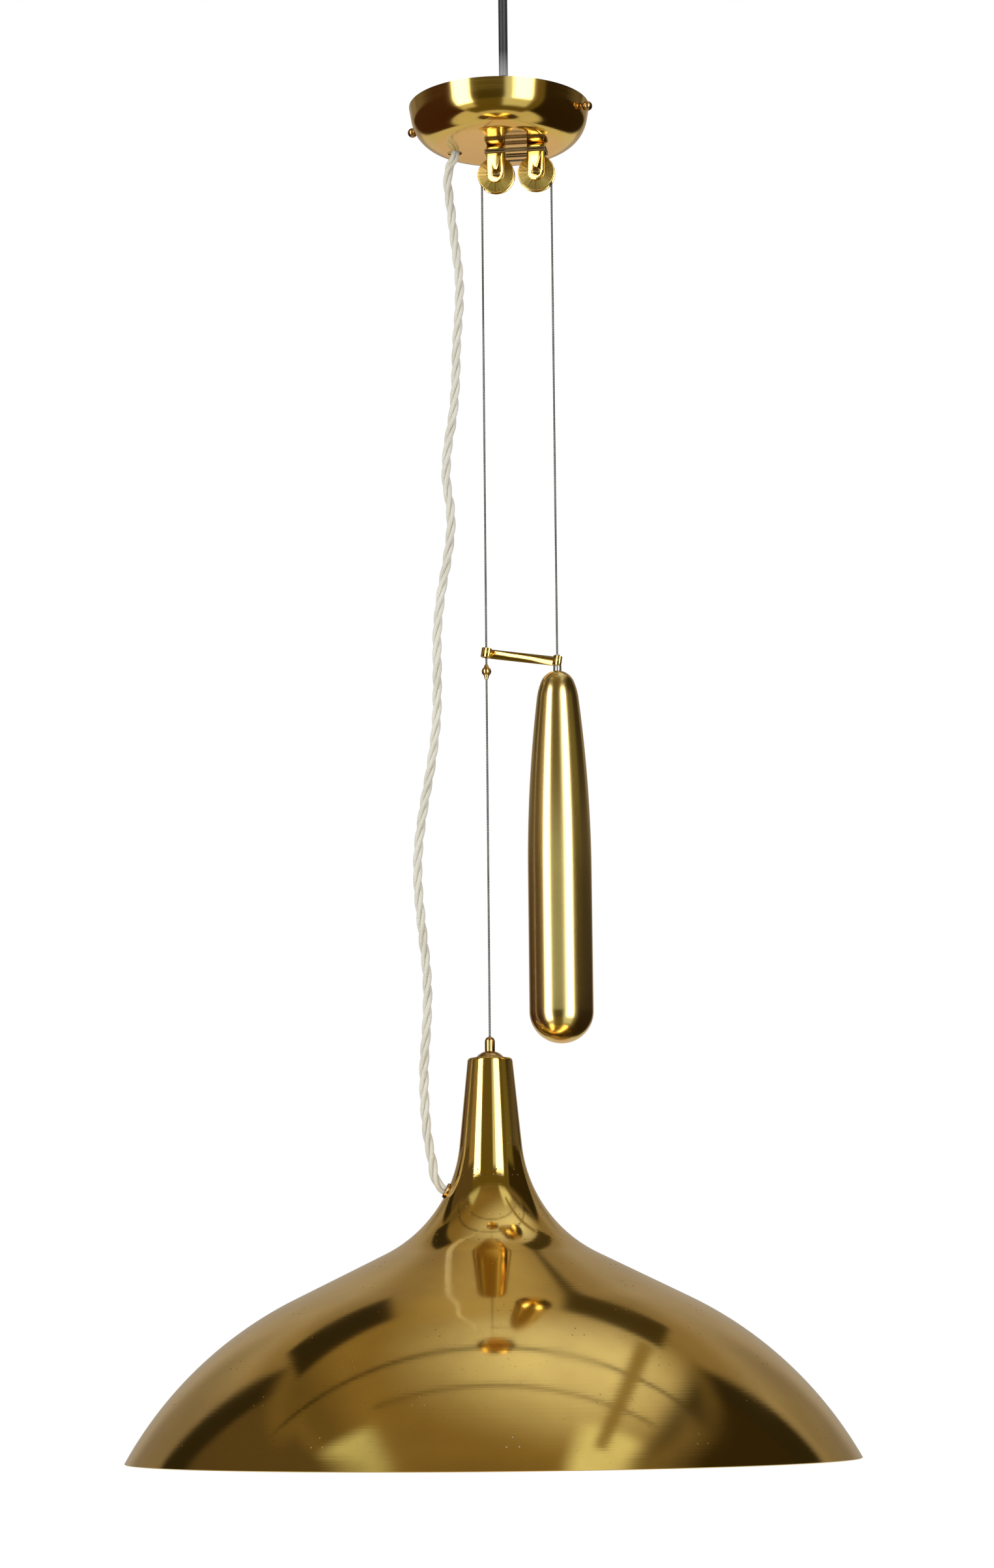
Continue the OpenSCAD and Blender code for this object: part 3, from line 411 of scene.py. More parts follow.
# %% Cotton braid and wire rope
def woven_finish(name, light, stain_and_shade_color, metallic, roughness, turns, per_metre, depth, sheen=0.0):
    """A finish with a weave: painted shade darkens the grooves between the threads, and random stains vary the
    tone.
    """
    material, tree, shader = new_material(name)
    shader.inputs["Metallic"].default_value = metallic
    shader.inputs["Roughness"].default_value = roughness
    shader.inputs["Sheen Weight"].default_value = sheen
    threads = add_node(tree, "ShaderNodeGroup", node_tree=weave)
    threads.inputs["Turns"].default_value = turns
    threads.inputs["Per Metre"].default_value = per_metre
    place = add_node(tree, "ShaderNodeTexCoord").outputs["Object"]
    stains = add_node(tree, "ShaderNodeTexNoise", {"Vector": place, "Scale": 30.0, "Detail": 4.0})
    # painted shade in the grooves between the threads, added to random stains, picks the colour from the ramp
    groove_shade_and_stains = maths(tree, "ADD", maths(tree, "MULTIPLY", threads.outputs["Height"], 0.25),
                      stains.outputs["Fac"])
    ramp = add_node(tree, "ShaderNodeValToRGB", {"Fac": groove_shade_and_stains})
    ramp.color_ramp.elements[0].color, ramp.color_ramp.elements[0].position = stain_and_shade_color, 0.25
    ramp.color_ramp.elements[1].color, ramp.color_ramp.elements[1].position = light, 0.6
    tree.links.new(ramp.outputs["Color"], shader.inputs["Base Color"])
    bump = add_node(tree, "ShaderNodeBump",
                    {"Height": threads.outputs["Height"], "Strength": 1.0, "Distance": depth})
    tree.links.new(bump.outputs[0], shader.inputs["Normal"])
    return material


cotton = woven_finish("cotton_braid", (0.84, 0.82, 0.72, 1), (0.62, 0.59, 0.49, 1), 0.0, 0.75, 6.0, 700.0,
                      0.00012, sheen=0.25)
wire_rope = woven_finish("wire_rope", (0.20, 0.19, 0.18, 1), (0.06, 0.055, 0.05, 1), 1.0, 0.40, 3.0, 260.0,
                         0.00015)
print("woven finishes: 2")

# %% [markdown]
# ## Cords and wires
#
# A cord is a circle carried along a path. The path is a smooth curve through listed points. At each
# ring the circle is turned to face along the path with as little twist as possible, which keeps the sides
# from winding round each other by accident. A twisted cord is three such strands that wind on purpose.

# %% Paths, frames along them and swept circles
def smooth_path(points, steps):
    """A Catmull-Rom curve through all the points."""
    points = [Vector(p) for p in points]
    path = []
    for i in range(len(points) - 1):
        a, b, c, d = (points[min(max(k, 0), len(points) - 1)] for k in (i - 1, i, i + 1, i + 2))
        for step in range(steps):
            t = step / steps
            path.append(0.5 * (2 * b + (c - a) * t + (2 * a - 5 * b + 4 * c - d) * t * t
                               + (3 * b - a - 3 * c + d) * t ** 3))
    return path + [points[-1]]


def frames_along(path):
    """A matrix at each point of a path. Its Z looks along the path."""
    ways = [(path[min(i + 1, len(path) - 1)] - path[max(i - 1, 0)]).normalized() for i in range(len(path))]
    turn = ways[0].to_track_quat("Z", "Y")
    frames = []
    for i, (point, way) in enumerate(zip(path, ways)):
        if i:
            turn = ways[i - 1].rotation_difference(way) @ turn
        frames.append(Matrix.Translation(point) @ turn.to_matrix().to_4x4())
    return frames


def sweep_circle(bm, path, radius, sides):
    """Extrude a circle along a path, ring by ring, close its ends and lay out its UV map."""
    uv_layer = bm.loops.layers.uv.verify()
    frames = frames_along(path)
    ring = bmesh.ops.create_circle(bm, cap_ends=False, radius=radius, segments=sides, matrix=frames[0])["verts"]
    edges = list({e for v in ring for e in v.link_edges})
    first, place, metres = edges, {}, 0.0

    def keep_place(verts, frame):
        """Note which side of the circle each vertex is on, counted from its Y, and how far along it lies."""
        local = frame.inverted()
        for v in verts:
            at = local @ v.co
            place[v] = (round(math.atan2(at.x, at.y) / math.tau * sides) % sides, metres)

    keep_place(ring, frames[0])
    for before, after, a, b in zip(frames, frames[1:], path, path[1:]):
        made = bmesh.ops.extrude_edge_only(bm, edges=edges)["geom"]
        verts = [g for g in made if isinstance(g, bmesh.types.BMVert)]
        bmesh.ops.transform(bm, matrix=after @ before.inverted(), verts=verts)
        metres += (b - a).length
        inside = set(verts)
        edges = [g for g in made if isinstance(g, bmesh.types.BMEdge) and set(g.verts) <= inside]
        keep_place(verts, after)
    for face in {f for v in place for f in v.link_faces}:
        wraps = {place[loop.vert][0] for loop in face.loops} == {0, sides - 1}
        for loop in face.loops:
            k, along = place[loop.vert]
            loop[uv_layer].uv = ((sides if wraps and k == 0 else k) / sides, along)
    bmesh.ops.holes_fill(bm, edges=first + edges, sides=0)
    bmesh.ops.recalc_face_normals(bm, faces=list({f for v in place for f in v.link_faces}))


def twisted_strands(path, diameter, pitch, sides=10):
    """Three equal strands that fill the cord's diameter and wind round its path once in each pitch."""
    strand_d = diameter / (1 + 2 / math.sqrt(3))
    out = (diameter - strand_d) / 2
    bm, frames, metres = bmesh.new(), frames_along(path), [0.0]
    for a, b in zip(path, path[1:]):
        metres.append(metres[-1] + (b - a).length)
    for strand in range(3):
        turns = [math.tau * (m / pitch + strand / 3) for m in metres]
        line = [f @ Vector((out * math.cos(t), out * math.sin(t), 0)) for f, t in zip(frames, turns)]
        sweep_circle(bm, line, strand_d / 2, sides)
    return bm


def path_length(path):
    return sum((b - a).length for a, b in zip(path, path[1:]))


# %% [markdown]
# ## The lamp cord
#
# The cord drops out of the cup in loose waves and goes into the shade's flank through a bush. Its points are
# those of the model. It hangs between two bodies, the fixed cup and the sliding shade, and is attached to
# neither; the real one is paid out from the cup when the shade comes down.

# %% Lamp cord
CORD_D = 6.8 * MM
CORD_PITCH = 44 * MM
CORD_HOLE = Vector((-33.96, 8.47, -129.5)) * MM
INLET_SLOPE = math.radians(26)
INLET_TURN = math.radians(195)
INLET_OUT = Vector((math.cos(INLET_SLOPE) * math.cos(INLET_TURN),
                    math.cos(INLET_SLOPE) * math.sin(INLET_TURN), math.sin(INLET_SLOPE)))
CORD_ROUTE_MM = [
    (-38, 8, -141), (-39, 8, -153), (-37, 8, -172), (-34, 7, -198), (-31, 6, -224), (-31, 5, -246),
    (-33, 5, -272), (-34, 5, -300), (-36, 5, -325), (-40, 4, -350), (-41, 3, -373), (-38, 2, -395),
    (-38, 2, -413), (-41, 2, -434), (-45, 1, -457), (-48, 1, -485), (-48, 0, -520), (-49, 0, -550),
    (-53, -1, -582), (-58, -2, -610), (-62, -2, -640), (-62, -3, -668), (-59, -3, -700),
    (-56, -4, -730), (-56, -5, -758), (-58, -6, -788), (-58, -7, -812), (-56, -8, -838),
    (-53, -9, -855), (-51, -10, -866), (-49, -10, -872)]
bush_middle = middle("cord_bush")
# the bush reaches 1.6 mm out of the wall and 5.4 mm into it, so its mouth is 3.5 mm out of its middle
cord_end = bush_middle + INLET_OUT * 3.5 * MM
route = [Vector(p) * MM for p in CORD_ROUTE_MM]
cord_points = [CORD_HOLE, CORD_HOLE - Vector((0.5, 0, 5)) * MM, *route, cord_end + 3 * MM * INLET_OUT, cord_end]
cord_path = smooth_path(cord_points, 8)
lamp_cord = make_piece("lamp_cord_twisted", twisted_strands(cord_path, CORD_D, CORD_PITCH), [cotton], 60)
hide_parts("lamp_cord")
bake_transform(lamp_cord)
print("lamp cord %.3f m" % path_length(cord_path))

# %% [markdown]
# ## The supply cable
#
# A plain black cable carries the lamp from its ceiling fitting. It is straight, because the lamp's weight
# pulls on it, and it ends in the fitting, just above the picture. In the last centimetres above the cup its
# sheath is painted a lighter grey: a painted highlight for the light that the cup throws up on it.

# %% Supply cable
SUPPLY_D = 6.6 * MM
supply_low, supply_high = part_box("supply_cable")
supply_x = middle("supply_cable").x
supply_path = [Vector((supply_x, 0, supply_low.z + (supply_high.z - supply_low.z) * i / 20)) for i in range(21)]
supply_bm = bmesh.new()
sweep_circle(supply_bm, supply_path, SUPPLY_D / 2, 24)
supply_sheath, sheath_tree, sheath_shader = new_material("supply_sheath")
sheath_place = add_node(sheath_tree, "ShaderNodeTexCoord").outputs["Object"]
sheath_height = add_node(sheath_tree, "ShaderNodeSeparateXYZ", {0: sheath_place}).outputs["Z"]
# painted highlight: the sheath's colour goes from black to grey towards its lower end, for the light thrown up
# from the cup
sheath_highlight_share = add_node(sheath_tree, "ShaderNodeMapRange",
                      {"Value": sheath_height, "From Min": -0.058, "From Max": -0.076}, clamp=True)
sheath_color_with_painted_highlight = mix_colors(sheath_tree, sheath_highlight_share.outputs[0], (0.022, 0.022, 0.024), (0.30, 0.30, 0.31))
sheath_tree.links.new(sheath_color_with_painted_highlight, sheath_shader.inputs["Base Color"])
sheath_skin = add_node(sheath_tree, "ShaderNodeTexNoise", {"Vector": sheath_place, "Scale": 700.0, "Detail": 3.0})
sheath_gloss = add_node(sheath_tree, "ShaderNodeMapRange",
                        {"Value": sheath_skin.outputs["Fac"], "To Min": 0.34, "To Max": 0.56})
sheath_tree.links.new(sheath_gloss.outputs[0], sheath_shader.inputs["Roughness"])
supply = make_piece("supply_cable_black", supply_bm, [supply_sheath])
settle(supply, "root", "supply_sheath", "supply_cable")
print("supply cable %.3f m" % path_length(supply_path))

# %% [markdown]
# ## The cord inside the cup and inside the shade
#
# The spare cord lies coiled in the cup, round the terminal block, and the inner end runs from the bush to the
# lampholder. Both follow the model's points, so their ends meet the pieces that hold them.

# %% Spare cord in the cup, and the inner end in the shade
SPARE_R = 47 * MM
SPARE_Z = CUP_FLOOR_Z + 11 * MM
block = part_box("terminal_block")
block_front = Vector((-9 * MM, block[0].y, (block[0].z + block[1].z) / 2))
coil = []
for step in range(10):
    turn = math.radians(166 - 31 - 24 * step)
    coil.append(Vector((SPARE_R * math.cos(turn), SPARE_R * math.sin(turn), SPARE_Z)))
spare_points = [CORD_HOLE + Vector((0, 0, 0.2)) * MM, CORD_HOLE + Vector((0, 0, 7)) * MM,
                CORD_HOLE + Vector((-1, 4, 12)) * MM, CORD_HOLE + Vector((-3, 12, 13)) * MM, *coil,
                Vector((-5 * MM, 4 * MM - SPARE_R, SPARE_Z - MM)),
                Vector((-9 * MM, 11 * MM - SPARE_R, SPARE_Z - 2 * MM)),
                block_front - Vector((0, 7, 0)) * MM, block_front]
spare = make_piece("spare_cord_twisted",
                   twisted_strands(smooth_path(spare_points, 8), CORD_D, CORD_PITCH), [cotton], 60)
settle(spare, "root", "cord_textile", "spare_cord")

holder_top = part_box("holder_cap")[1].z
inlet_at = cord_end - 1.6 * MM * INLET_OUT
inner_points = [cord_end - 0.3 * MM * INLET_OUT, inlet_at - 8 * MM * INLET_OUT,
                Vector((SHADE_X - 14 * MM, -3 * MM, inlet_at.z - 12 * MM)),
                Vector((SHADE_X - 12 * MM, -1 * MM, holder_top + 7 * MM)),
                Vector((SHADE_X - 12 * MM, 0, holder_top - 1.5 * MM))]
inner = make_piece("inner_cord_twisted",
                   twisted_strands(smooth_path(inner_points, 10), CORD_D, CORD_PITCH), [cotton], 60)
settle(inner, "shade", "cord_textile", "inner_cord")

# %% [markdown]
# ## The suspension wire
#
# One steel rope hangs the shade on the left, runs over both sheaves and hangs the counterweight on the right.
# The upright runs stretch and shorten as the lamp is drawn down; here each is a straight wire, attached to
# neither the cup nor the piece that it carries. A second length is hitched round the yokes.

# %% Upright wires
WIRE_D = 1.4 * MM


def upright_wire(name, node):
    """A straight wire from the sheave down, standing for its node."""
    low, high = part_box(node)
    x = middle(node).x
    path = [Vector((x, 0, high.z + (low.z - high.z) * i / 60)) for i in range(61)]
    bm = bmesh.new()
    sweep_circle(bm, path, WIRE_D / 2, 12)
    wire = make_piece(name, bm, [wire_rope])
    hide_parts(node)
    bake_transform(wire)
    return wire


upright_wire("shade_wire", "wire_shade")
upright_wire("weight_wire", "wire_weight")

# %% Wire over the sheaves
LEFT_SHEAVE_X = middle("sheave_left").x
RIGHT_SHEAVE_X = middle("sheave_right").x
run_r = LEFT_SHEAVE_X - SHADE_X
over = [Vector((x, 0, z)) for x, z in arc((LEFT_SHEAVE_X, AXLE_Z), run_r, 180, 90, 14)]
over += [Vector((x, 0, z)) for x, z in arc((RIGHT_SHEAVE_X, AXLE_Z), run_r, 90, 0, 14)]
over_bm = bmesh.new()
sweep_circle(over_bm, over, WIRE_D / 2, 12)
settle(make_piece("sheave_wire", over_bm, [wire_rope]), "root", "wire_steel", "wire_over")

# %% [markdown]
# ## The spun shade
#
# The shade is one disc of brass, spun over a former: a low dome, a straight flank and a flare that rises into
# a slim neck. Its outline is worked out from the radii and slopes of those arcs. The wall is 0.95 mm thick,
# brass outside and enamelled white inside. Small holes in threes let sparks of light through, so they are
# real holes: cut with one Boolean, after which every corner gets back the normal of the true outline, because
# a mirror finish shows the smallest flaw in the shading.

# %% The shade's outline
RIM_R = 250 * MM
SHADE_H = 273.5 * MM
SHADE_WALL = 0.95 * MM
DOME_R = 263 * MM
FLARE_R = 93 * MM
RIM_ANGLE, FLANK_ANGLE, NECK_ANGLE = 29, 64, 5.8
NECK_TOP_R = 15.4 * MM
SHOULDER_R = 2.2 * MM
SHADE_STEPS = 216


def unit(degrees):
    turn = math.radians(degrees)
    return Vector((math.cos(turn), math.sin(turn)))


arcs_rise = (DOME_R * (unit(FLANK_ANGLE).y - unit(RIM_ANGLE).y)
             + FLARE_R * (unit(FLANK_ANGLE).y - unit(NECK_ANGLE).y))
arcs_reach = (DOME_R * (unit(RIM_ANGLE).x - unit(FLANK_ANGLE).x)
              + FLARE_R * (unit(NECK_ANGLE).x - unit(FLANK_ANGLE).x))
neck_taper = math.tan(math.radians(NECK_ANGLE))
flank_length = ((RIM_R - arcs_reach - NECK_TOP_R - (SHADE_H - arcs_rise) * neck_taper)
                / (unit(FLANK_ANGLE).y - unit(FLANK_ANGLE).x * neck_taper))
dome_centre = Vector((RIM_R, 0)) - DOME_R * unit(RIM_ANGLE)
flank_end = dome_centre + DOME_R * unit(FLANK_ANGLE) + flank_length * unit(FLANK_ANGLE + 90)
flare_centre = flank_end + FLARE_R * unit(FLANK_ANGLE)
shoulder_at = Vector((NECK_TOP_R - SHOULDER_R * (1 - unit(NECK_ANGLE).y) / unit(NECK_ANGLE).x,
                      SHADE_H - SHOULDER_R))


def stretch(a, b, steps):
    """Points between a and b, without either end."""
    return [tuple(Vector(a).lerp(Vector(b), i / steps)) for i in range(1, steps)]


def shade_outline(inset):
    """The shade's wall from rim to neck, that far inside its outer skin, above the rim."""
    dome = arc(dome_centre, DOME_R - inset, RIM_ANGLE, FLANK_ANGLE, 26)
    flare = arc(flare_centre, FLARE_R + inset, 180 + FLANK_ANGLE, 180 + NECK_ANGLE, 26)
    shoulder = arc(shoulder_at, SHOULDER_R - inset, NECK_ANGLE, 90, 8)
    return dome + stretch(dome[-1], flare[0], 10) + flare + stretch(flare[-1], shoulder[0], 8) + shoulder


rim_z = NECK_Z - SHADE_H
outer_line = [(r, z + rim_z) for r, z in shade_outline(0)]
inner_line = [(r, z + rim_z) for r, z in shade_outline(SHADE_WALL)]
neck_hole_r = 5.05 * MM
shade_ring = outer_line + [(neck_hole_r, NECK_Z), (neck_hole_r, NECK_Z - SHADE_WALL)] + inner_line[::-1]
shade = make_piece("shade_spun", spin_outline(shade_ring, SHADE_X, SHADE_STEPS), [brass_shade, enamel])
print("flank %.1f mm" % (flank_length / MM))

# %% Cutters for the holes in threes
HOLE_D = 1.1 * MM
TRIPLETS = 12
LOWER_ROWS_MM = (14.5, 40, 63, 82.5, 98.5, 115, 130, 147, 164.5)
ODD_ROW_TURN, EVEN_ROW_TURN = 11, -4
SIDE_LOW, SIDE_NECK = 8 * MM, 4.6 * MM
NECK_ROW = (192 * MM, 17, SIDE_NECK, TRIPLETS)
TOP_ROW = (213 * MM, 48, SIDE_NECK, 3)


def wall_at(height):
    """(point, outward normal) of the outer outline at a height above the rim."""
    for (r0, z0), (r1, z1) in zip(outer_line, outer_line[1:]):
        if z0 <= rim_z + height <= z1:
            t = (rim_z + height - z0) / (z1 - z0)
            return Vector((r0 + (r1 - r0) * t, rim_z + height)), Vector((z1 - z0, r0 - r1)).normalized()


def cut_hole(bm, height, degrees):
    """A short rod square through the shade's wall. Degrees count from the front, to the right."""
    at, out = wall_at(height)
    turn = math.radians(degrees)
    round_way = Vector((math.sin(turn), -math.cos(turn), 0))
    centre = Vector((SHADE_X, 0, 0)) + round_way * at.x + UP * at.y
    way = round_way * out.x + UP * out.y
    spot = Matrix.Translation(centre - way * SHADE_WALL / 2) @ way.to_track_quat("Z", "Y").to_matrix().to_4x4()
    bmesh.ops.create_cone(bm, cap_ends=True, segments=10, radius1=HOLE_D / 2, radius2=HOLE_D / 2,
                          depth=SHADE_WALL * 5, matrix=spot)


holes = bmesh.new()
rows = [(h * MM, ODD_ROW_TURN if i % 2 == 0 else EVEN_ROW_TURN, SIDE_LOW, TRIPLETS)
        for i, h in enumerate(LOWER_ROWS_MM)]
rows += [NECK_ROW, TOP_ROW]
for height, first_turn, side, count in rows:
    at, out = wall_at(height)
    half_turn = math.degrees(side / 2 / at.x)
    rise = side * math.sin(math.radians(60)) * out.x
    for k in range(count):
        turn = first_turn + 360 / count * k
        cut_hole(holes, height, turn - half_turn)
        cut_hole(holes, height, turn + half_turn)
        cut_hole(holes, height + rise, turn)
cutter = make_piece("hole_cutter", holes, [])
print("holes:", 3 * sum(row[3] for row in rows))

# %% Cut the holes, colour the inside and restore the normals
def cut_away(piece, cutter):
    """Apply a Boolean and delete its cutter."""
    boolean = piece.modifiers.new("cut", "BOOLEAN")
    boolean.operation, boolean.solver, boolean.object = "DIFFERENCE", "EXACT", cutter
    cut = bpy.data.meshes.new_from_object(piece.evaluated_get(bpy.context.evaluated_depsgraph_get()))
    piece.modifiers.clear()
    old, piece.data = piece.data, cut
    bpy.data.meshes.remove(old)
    bpy.data.objects.remove(cutter)


def outline_normals(line, outward):
    """Pairs of (point, normal) along an outline of (radius, height) points."""
    pairs = []
    for i, (r, z) in enumerate(line):
        a, b = Vector(line[max(i - 1, 0)]), Vector(line[min(i + 1, len(line) - 1)])
        pairs.append(((r, z), Vector((b.y - a.y, a.x - b.x)).normalized() * outward))
    return pairs


def restore_normals(piece, centre_x, lines, agree=0.93):
    """Corners on a spun skin get the outline's own normal, and each face's skin is given back.
    lines are lists of (point, normal) pairs, and a face on none of them has the skin -1."""
    mesh = piece.data
    trees = []
    for pairs in lines:
        tree = KDTree(len(pairs))
        for i, ((r, z), _) in enumerate(pairs):
            tree.insert((r, z, 0), i)
        tree.balance()
        trees.append((pairs, tree))

    def skin_normal(co, pairs, tree):
        r = math.hypot(co.x - centre_x, co.y)
        if r < 1e-5:
            return None
        near = tree.find_n((r, co.z, 0), 2)
        total = sum(d for _, _, d in near) or 1.0
        mixed = sum((pairs[i][1] * (1 - d / total) for _, i, d in near), Vector((0, 0)))
        mixed.normalize()
        return Vector(((co.x - centre_x) / r * mixed.x, co.y / r * mixed.x, mixed.y))

    at_vertex = [[skin_normal(v.co, *t) for v in mesh.vertices] for t in trees]
    normals, skins = [None] * len(mesh.loops), []
    for face in mesh.polygons:
        true, skin = [Vector(face.normal)] * len(face.vertices), -1
        for number, found in enumerate(at_vertex):
            on_skin = [found[v] for v in face.vertices]
            if all(n is not None and n.dot(face.normal) > agree for n in on_skin):
                true, skin = on_skin, number
                break
        skins.append(skin)
        for loop, normal in zip(face.loop_indices, true):
            normals[loop] = normal
    mesh.normals_split_custom_set(normals)
    return skins


cut_away(shade, cutter)
skins = restore_normals(shade, SHADE_X, [outline_normals(outer_line, 1), outline_normals(inner_line, -1)])
for face, skin in zip(shade.data.polygons, skins):
    face.material_index = 1 if skin == 1 else 0
settle(shade, "shade", "brass_spun", "shade")
print("shade after cutting: %d faces" % len(shade.data.polygons))

# %% [markdown]
# ## The counterweight
#
# The counterweight is a slim closed shell over an iron core: a small round nose, a shoulder, a very long arc
# that widens to the full diameter, a straight stretch and a half-round end. Each arc starts where the last one
# ends and in the same direction, so reflections run on without a kink. A real spun shell has a wall, so the
# mesh has an inner skin too, and a hole at the top for the collar.

# %% Counterweight shell
WEIGHT_R = 22.2 * MM
WEIGHT_H = 262 * MM
WEIGHT_WALL = 1.2 * MM
NOSE_R = 12.5 * MM
NOSE_ANGLE = 22
WEIGHT_SHOULDER_R = 47 * MM
SIDE_ANGLE = 7
weight_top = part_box("weight_shell")[1].z
shoulder_centre = (NOSE_R - WEIGHT_SHOULDER_R) * unit(NOSE_ANGLE) - Vector((0, NOSE_R))
side_r = (WEIGHT_R - shoulder_centre.x - WEIGHT_SHOULDER_R * unit(SIDE_ANGLE).x) / (1 - unit(SIDE_ANGLE).x)
side_centre = shoulder_centre + (WEIGHT_SHOULDER_R - side_r) * unit(SIDE_ANGLE)


def weight_outline(inset, top_angle):
    """The counterweight's skin from its top hole down to its bottom pole, below its top."""
    nose = arc((0, -NOSE_R), NOSE_R - inset, top_angle, NOSE_ANGLE, 16)
    shoulder = arc(shoulder_centre, WEIGHT_SHOULDER_R - inset, NOSE_ANGLE, SIDE_ANGLE, 10)[1:]
    side = arc(side_centre, side_r - inset, SIDE_ANGLE, 0, 30)[1:]
    end = arc((0, WEIGHT_R - WEIGHT_H), WEIGHT_R - inset, 0, -90, 24)
    return nose + shoulder + side + stretch(side[-1], end[0], 8) + end


def raised(line, z):
    return [(max(r, 0.0), h + z) for r, h in line]


collar_hole_r = 2.95 * MM
skin = raised(weight_outline(0, math.degrees(math.acos(collar_hole_r / NOSE_R))), weight_top)
lining = raised(weight_outline(WEIGHT_WALL, math.degrees(math.acos(collar_hole_r / (NOSE_R - WEIGHT_WALL)))),
                weight_top)
bm = spin_outline(skin + lining[::-1], WEIGHT_X, 128, closed=True)
weight = make_piece("counterweight_shell", bm, [brass_weight])
settle(weight, "weight", "brass_weight", "weight_shell")

# %% [markdown]
# ## The ceiling cup
#
# The cup is a shallow spun bowl with a flat floor. The lamp cord leaves through a plain hole in the floor, and
# two ball-headed screws go through the side into the bracket. A small rolled bead would hide the wall at the
# rim, but this cup simply ends, so the wall shows its thickness there.

# %% Cup
CUP_R = 65 * MM
CUP_CORNER_R = 24 * MM
CUP_LEAN = 10
CUP_WALL = 1 * MM
lean = math.radians(CUP_LEAN)
corner_z = CUP_FLOOR_Z + CUP_CORNER_R
corner_x = CUP_R - CUP_CORNER_R * math.cos(lean) - (
    CUP_RIM_Z - corner_z + CUP_CORNER_R * math.sin(lean)) * math.tan(lean)


def cup_outline(inset):
    """The cup's skin from the middle of its floor to its rim."""
    floor_z = CUP_FLOOR_Z + inset
    corner = arc((corner_x, corner_z), CUP_CORNER_R - inset, -90, -CUP_LEAN, 20)
    rim = (CUP_R - inset / math.cos(lean), CUP_RIM_Z)
    return [(0, floor_z)] + stretch((0, floor_z), corner[0], 10) + corner + stretch(corner[-1], rim, 6) + [rim]


cup_outer, cup_inner = cup_outline(0), cup_outline(CUP_WALL)
cup = make_piece("cup_spun", spin_outline(cup_outer + cup_inner[::-1], 0, 144), [brass_cup])
cup_holes = bmesh.new()
for x, y, d in ((CORD_HOLE.x, CORD_HOLE.y, 11 * MM), (LEFT_SHEAVE_X, 0, 4.1 * MM),
                (RIGHT_SHEAVE_X, 0, 4.1 * MM)):
    bmesh.ops.create_cone(cup_holes, cap_ends=True, segments=48, radius1=d / 2, radius2=d / 2, depth=8 * MM,
                          matrix=Matrix.Translation((x, y, CUP_FLOOR_Z)))
side_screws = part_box("side_screws")
screw_way = Vector((math.cos(math.radians(-15)), math.sin(math.radians(-15)), 0))
screw_spot = Matrix.Translation((0, 0, middle("side_screws").z)) @ screw_way.to_track_quat("Z", "Y").to_matrix().to_4x4()
bmesh.ops.create_cone(cup_holes, cap_ends=True, segments=32, radius1=2.2 * MM, radius2=2.2 * MM,
                      depth=2.4 * CUP_R, matrix=screw_spot)
cut_away(cup, make_piece("cup_cutter", cup_holes, []))
restore_normals(cup, 0, [outline_normals(cup_outer, 1), outline_normals(cup_inner, -1)])
settle(cup, "root", "brass_spun", "ceiling_cup")

# %% [markdown]
# ## Turned pieces on the wire
#
# The cap on the neck, the ferrule over it, the stop bead and the collar are lathe work. The stop bead is a
# ball between two small cones, and the guide arm's curl comes to rest on it when the shade is at its highest.

# %% Cap, ferrule and bead
cap_low, cap_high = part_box("neck_cap")
CAP_R = 10 * MM
CAP_DOME_R = 12.5 * MM
cap_rise = CAP_DOME_R - math.sqrt(CAP_DOME_R ** 2 - CAP_R ** 2)
cap_centre = (0, cap_low.z + cap_rise - CAP_DOME_R)
cap_edge = math.degrees(math.asin(-(cap_rise - CAP_DOME_R) / CAP_DOME_R))
wire_bore = 0.8 * MM
cap_line = [(wire_bore, cap_low.z), (CAP_R - 0.2 * MM, cap_low.z), (CAP_R, cap_low.z + 0.2 * MM)]
cap_line += arc(cap_centre, CAP_DOME_R, cap_edge + 1.5, 74, 16)
cap_line.append((wire_bore, cap_high.z))
cap = make_piece("neck_cap_turned", spin_outline(cap_line, SHADE_X, 96), [brass_turned])
settle(cap, "shade", "brass_turned", "neck_cap")

ferrule_low, ferrule_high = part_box("wire_ferrule")
FERRULE_R = 3.5 * MM
ferrule_line = [(wire_bore, ferrule_low.z), (FERRULE_R - 0.15 * MM, ferrule_low.z),
                (FERRULE_R, ferrule_low.z + 0.15 * MM)]
ferrule_line += arc((0, ferrule_high.z - FERRULE_R), FERRULE_R, 0, 76, 12)
ferrule_line.append((wire_bore, ferrule_high.z - 0.15 * MM))
ferrule = make_piece("wire_ferrule_turned", spin_outline(ferrule_line, SHADE_X, 64), [brass_turned])
settle(ferrule, "shade", "brass_turned", "wire_ferrule")

bead_low, bead_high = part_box("stop_bead")
BEAD_R = 3.4 * MM
bead_z = bead_low.z + 0.85 * 2 * BEAD_R
bead_line = [(wire_bore, bead_low.z), (1.1 * MM, bead_low.z)]
bead_line += arc((0, bead_z), BEAD_R, -55, 55, 20)
bead_line += [(1.1 * MM, bead_high.z), (wire_bore, bead_high.z)]
bead = make_piece("stop_bead_turned", spin_outline(bead_line, SHADE_X, 64), [brass_turned])
settle(bead, "shade", "brass_turned", "stop_bead")

# %% [markdown]
# ## Pieces that keep their model shape
#
# Stamped and moulded parts are already right in the model, but a perfectly sharp edge never catches the
# light. A Weld joins the model's loose triangles and a small Bevel breaks every sharp edge, which is what
# makes a strap or a nut look like metal.

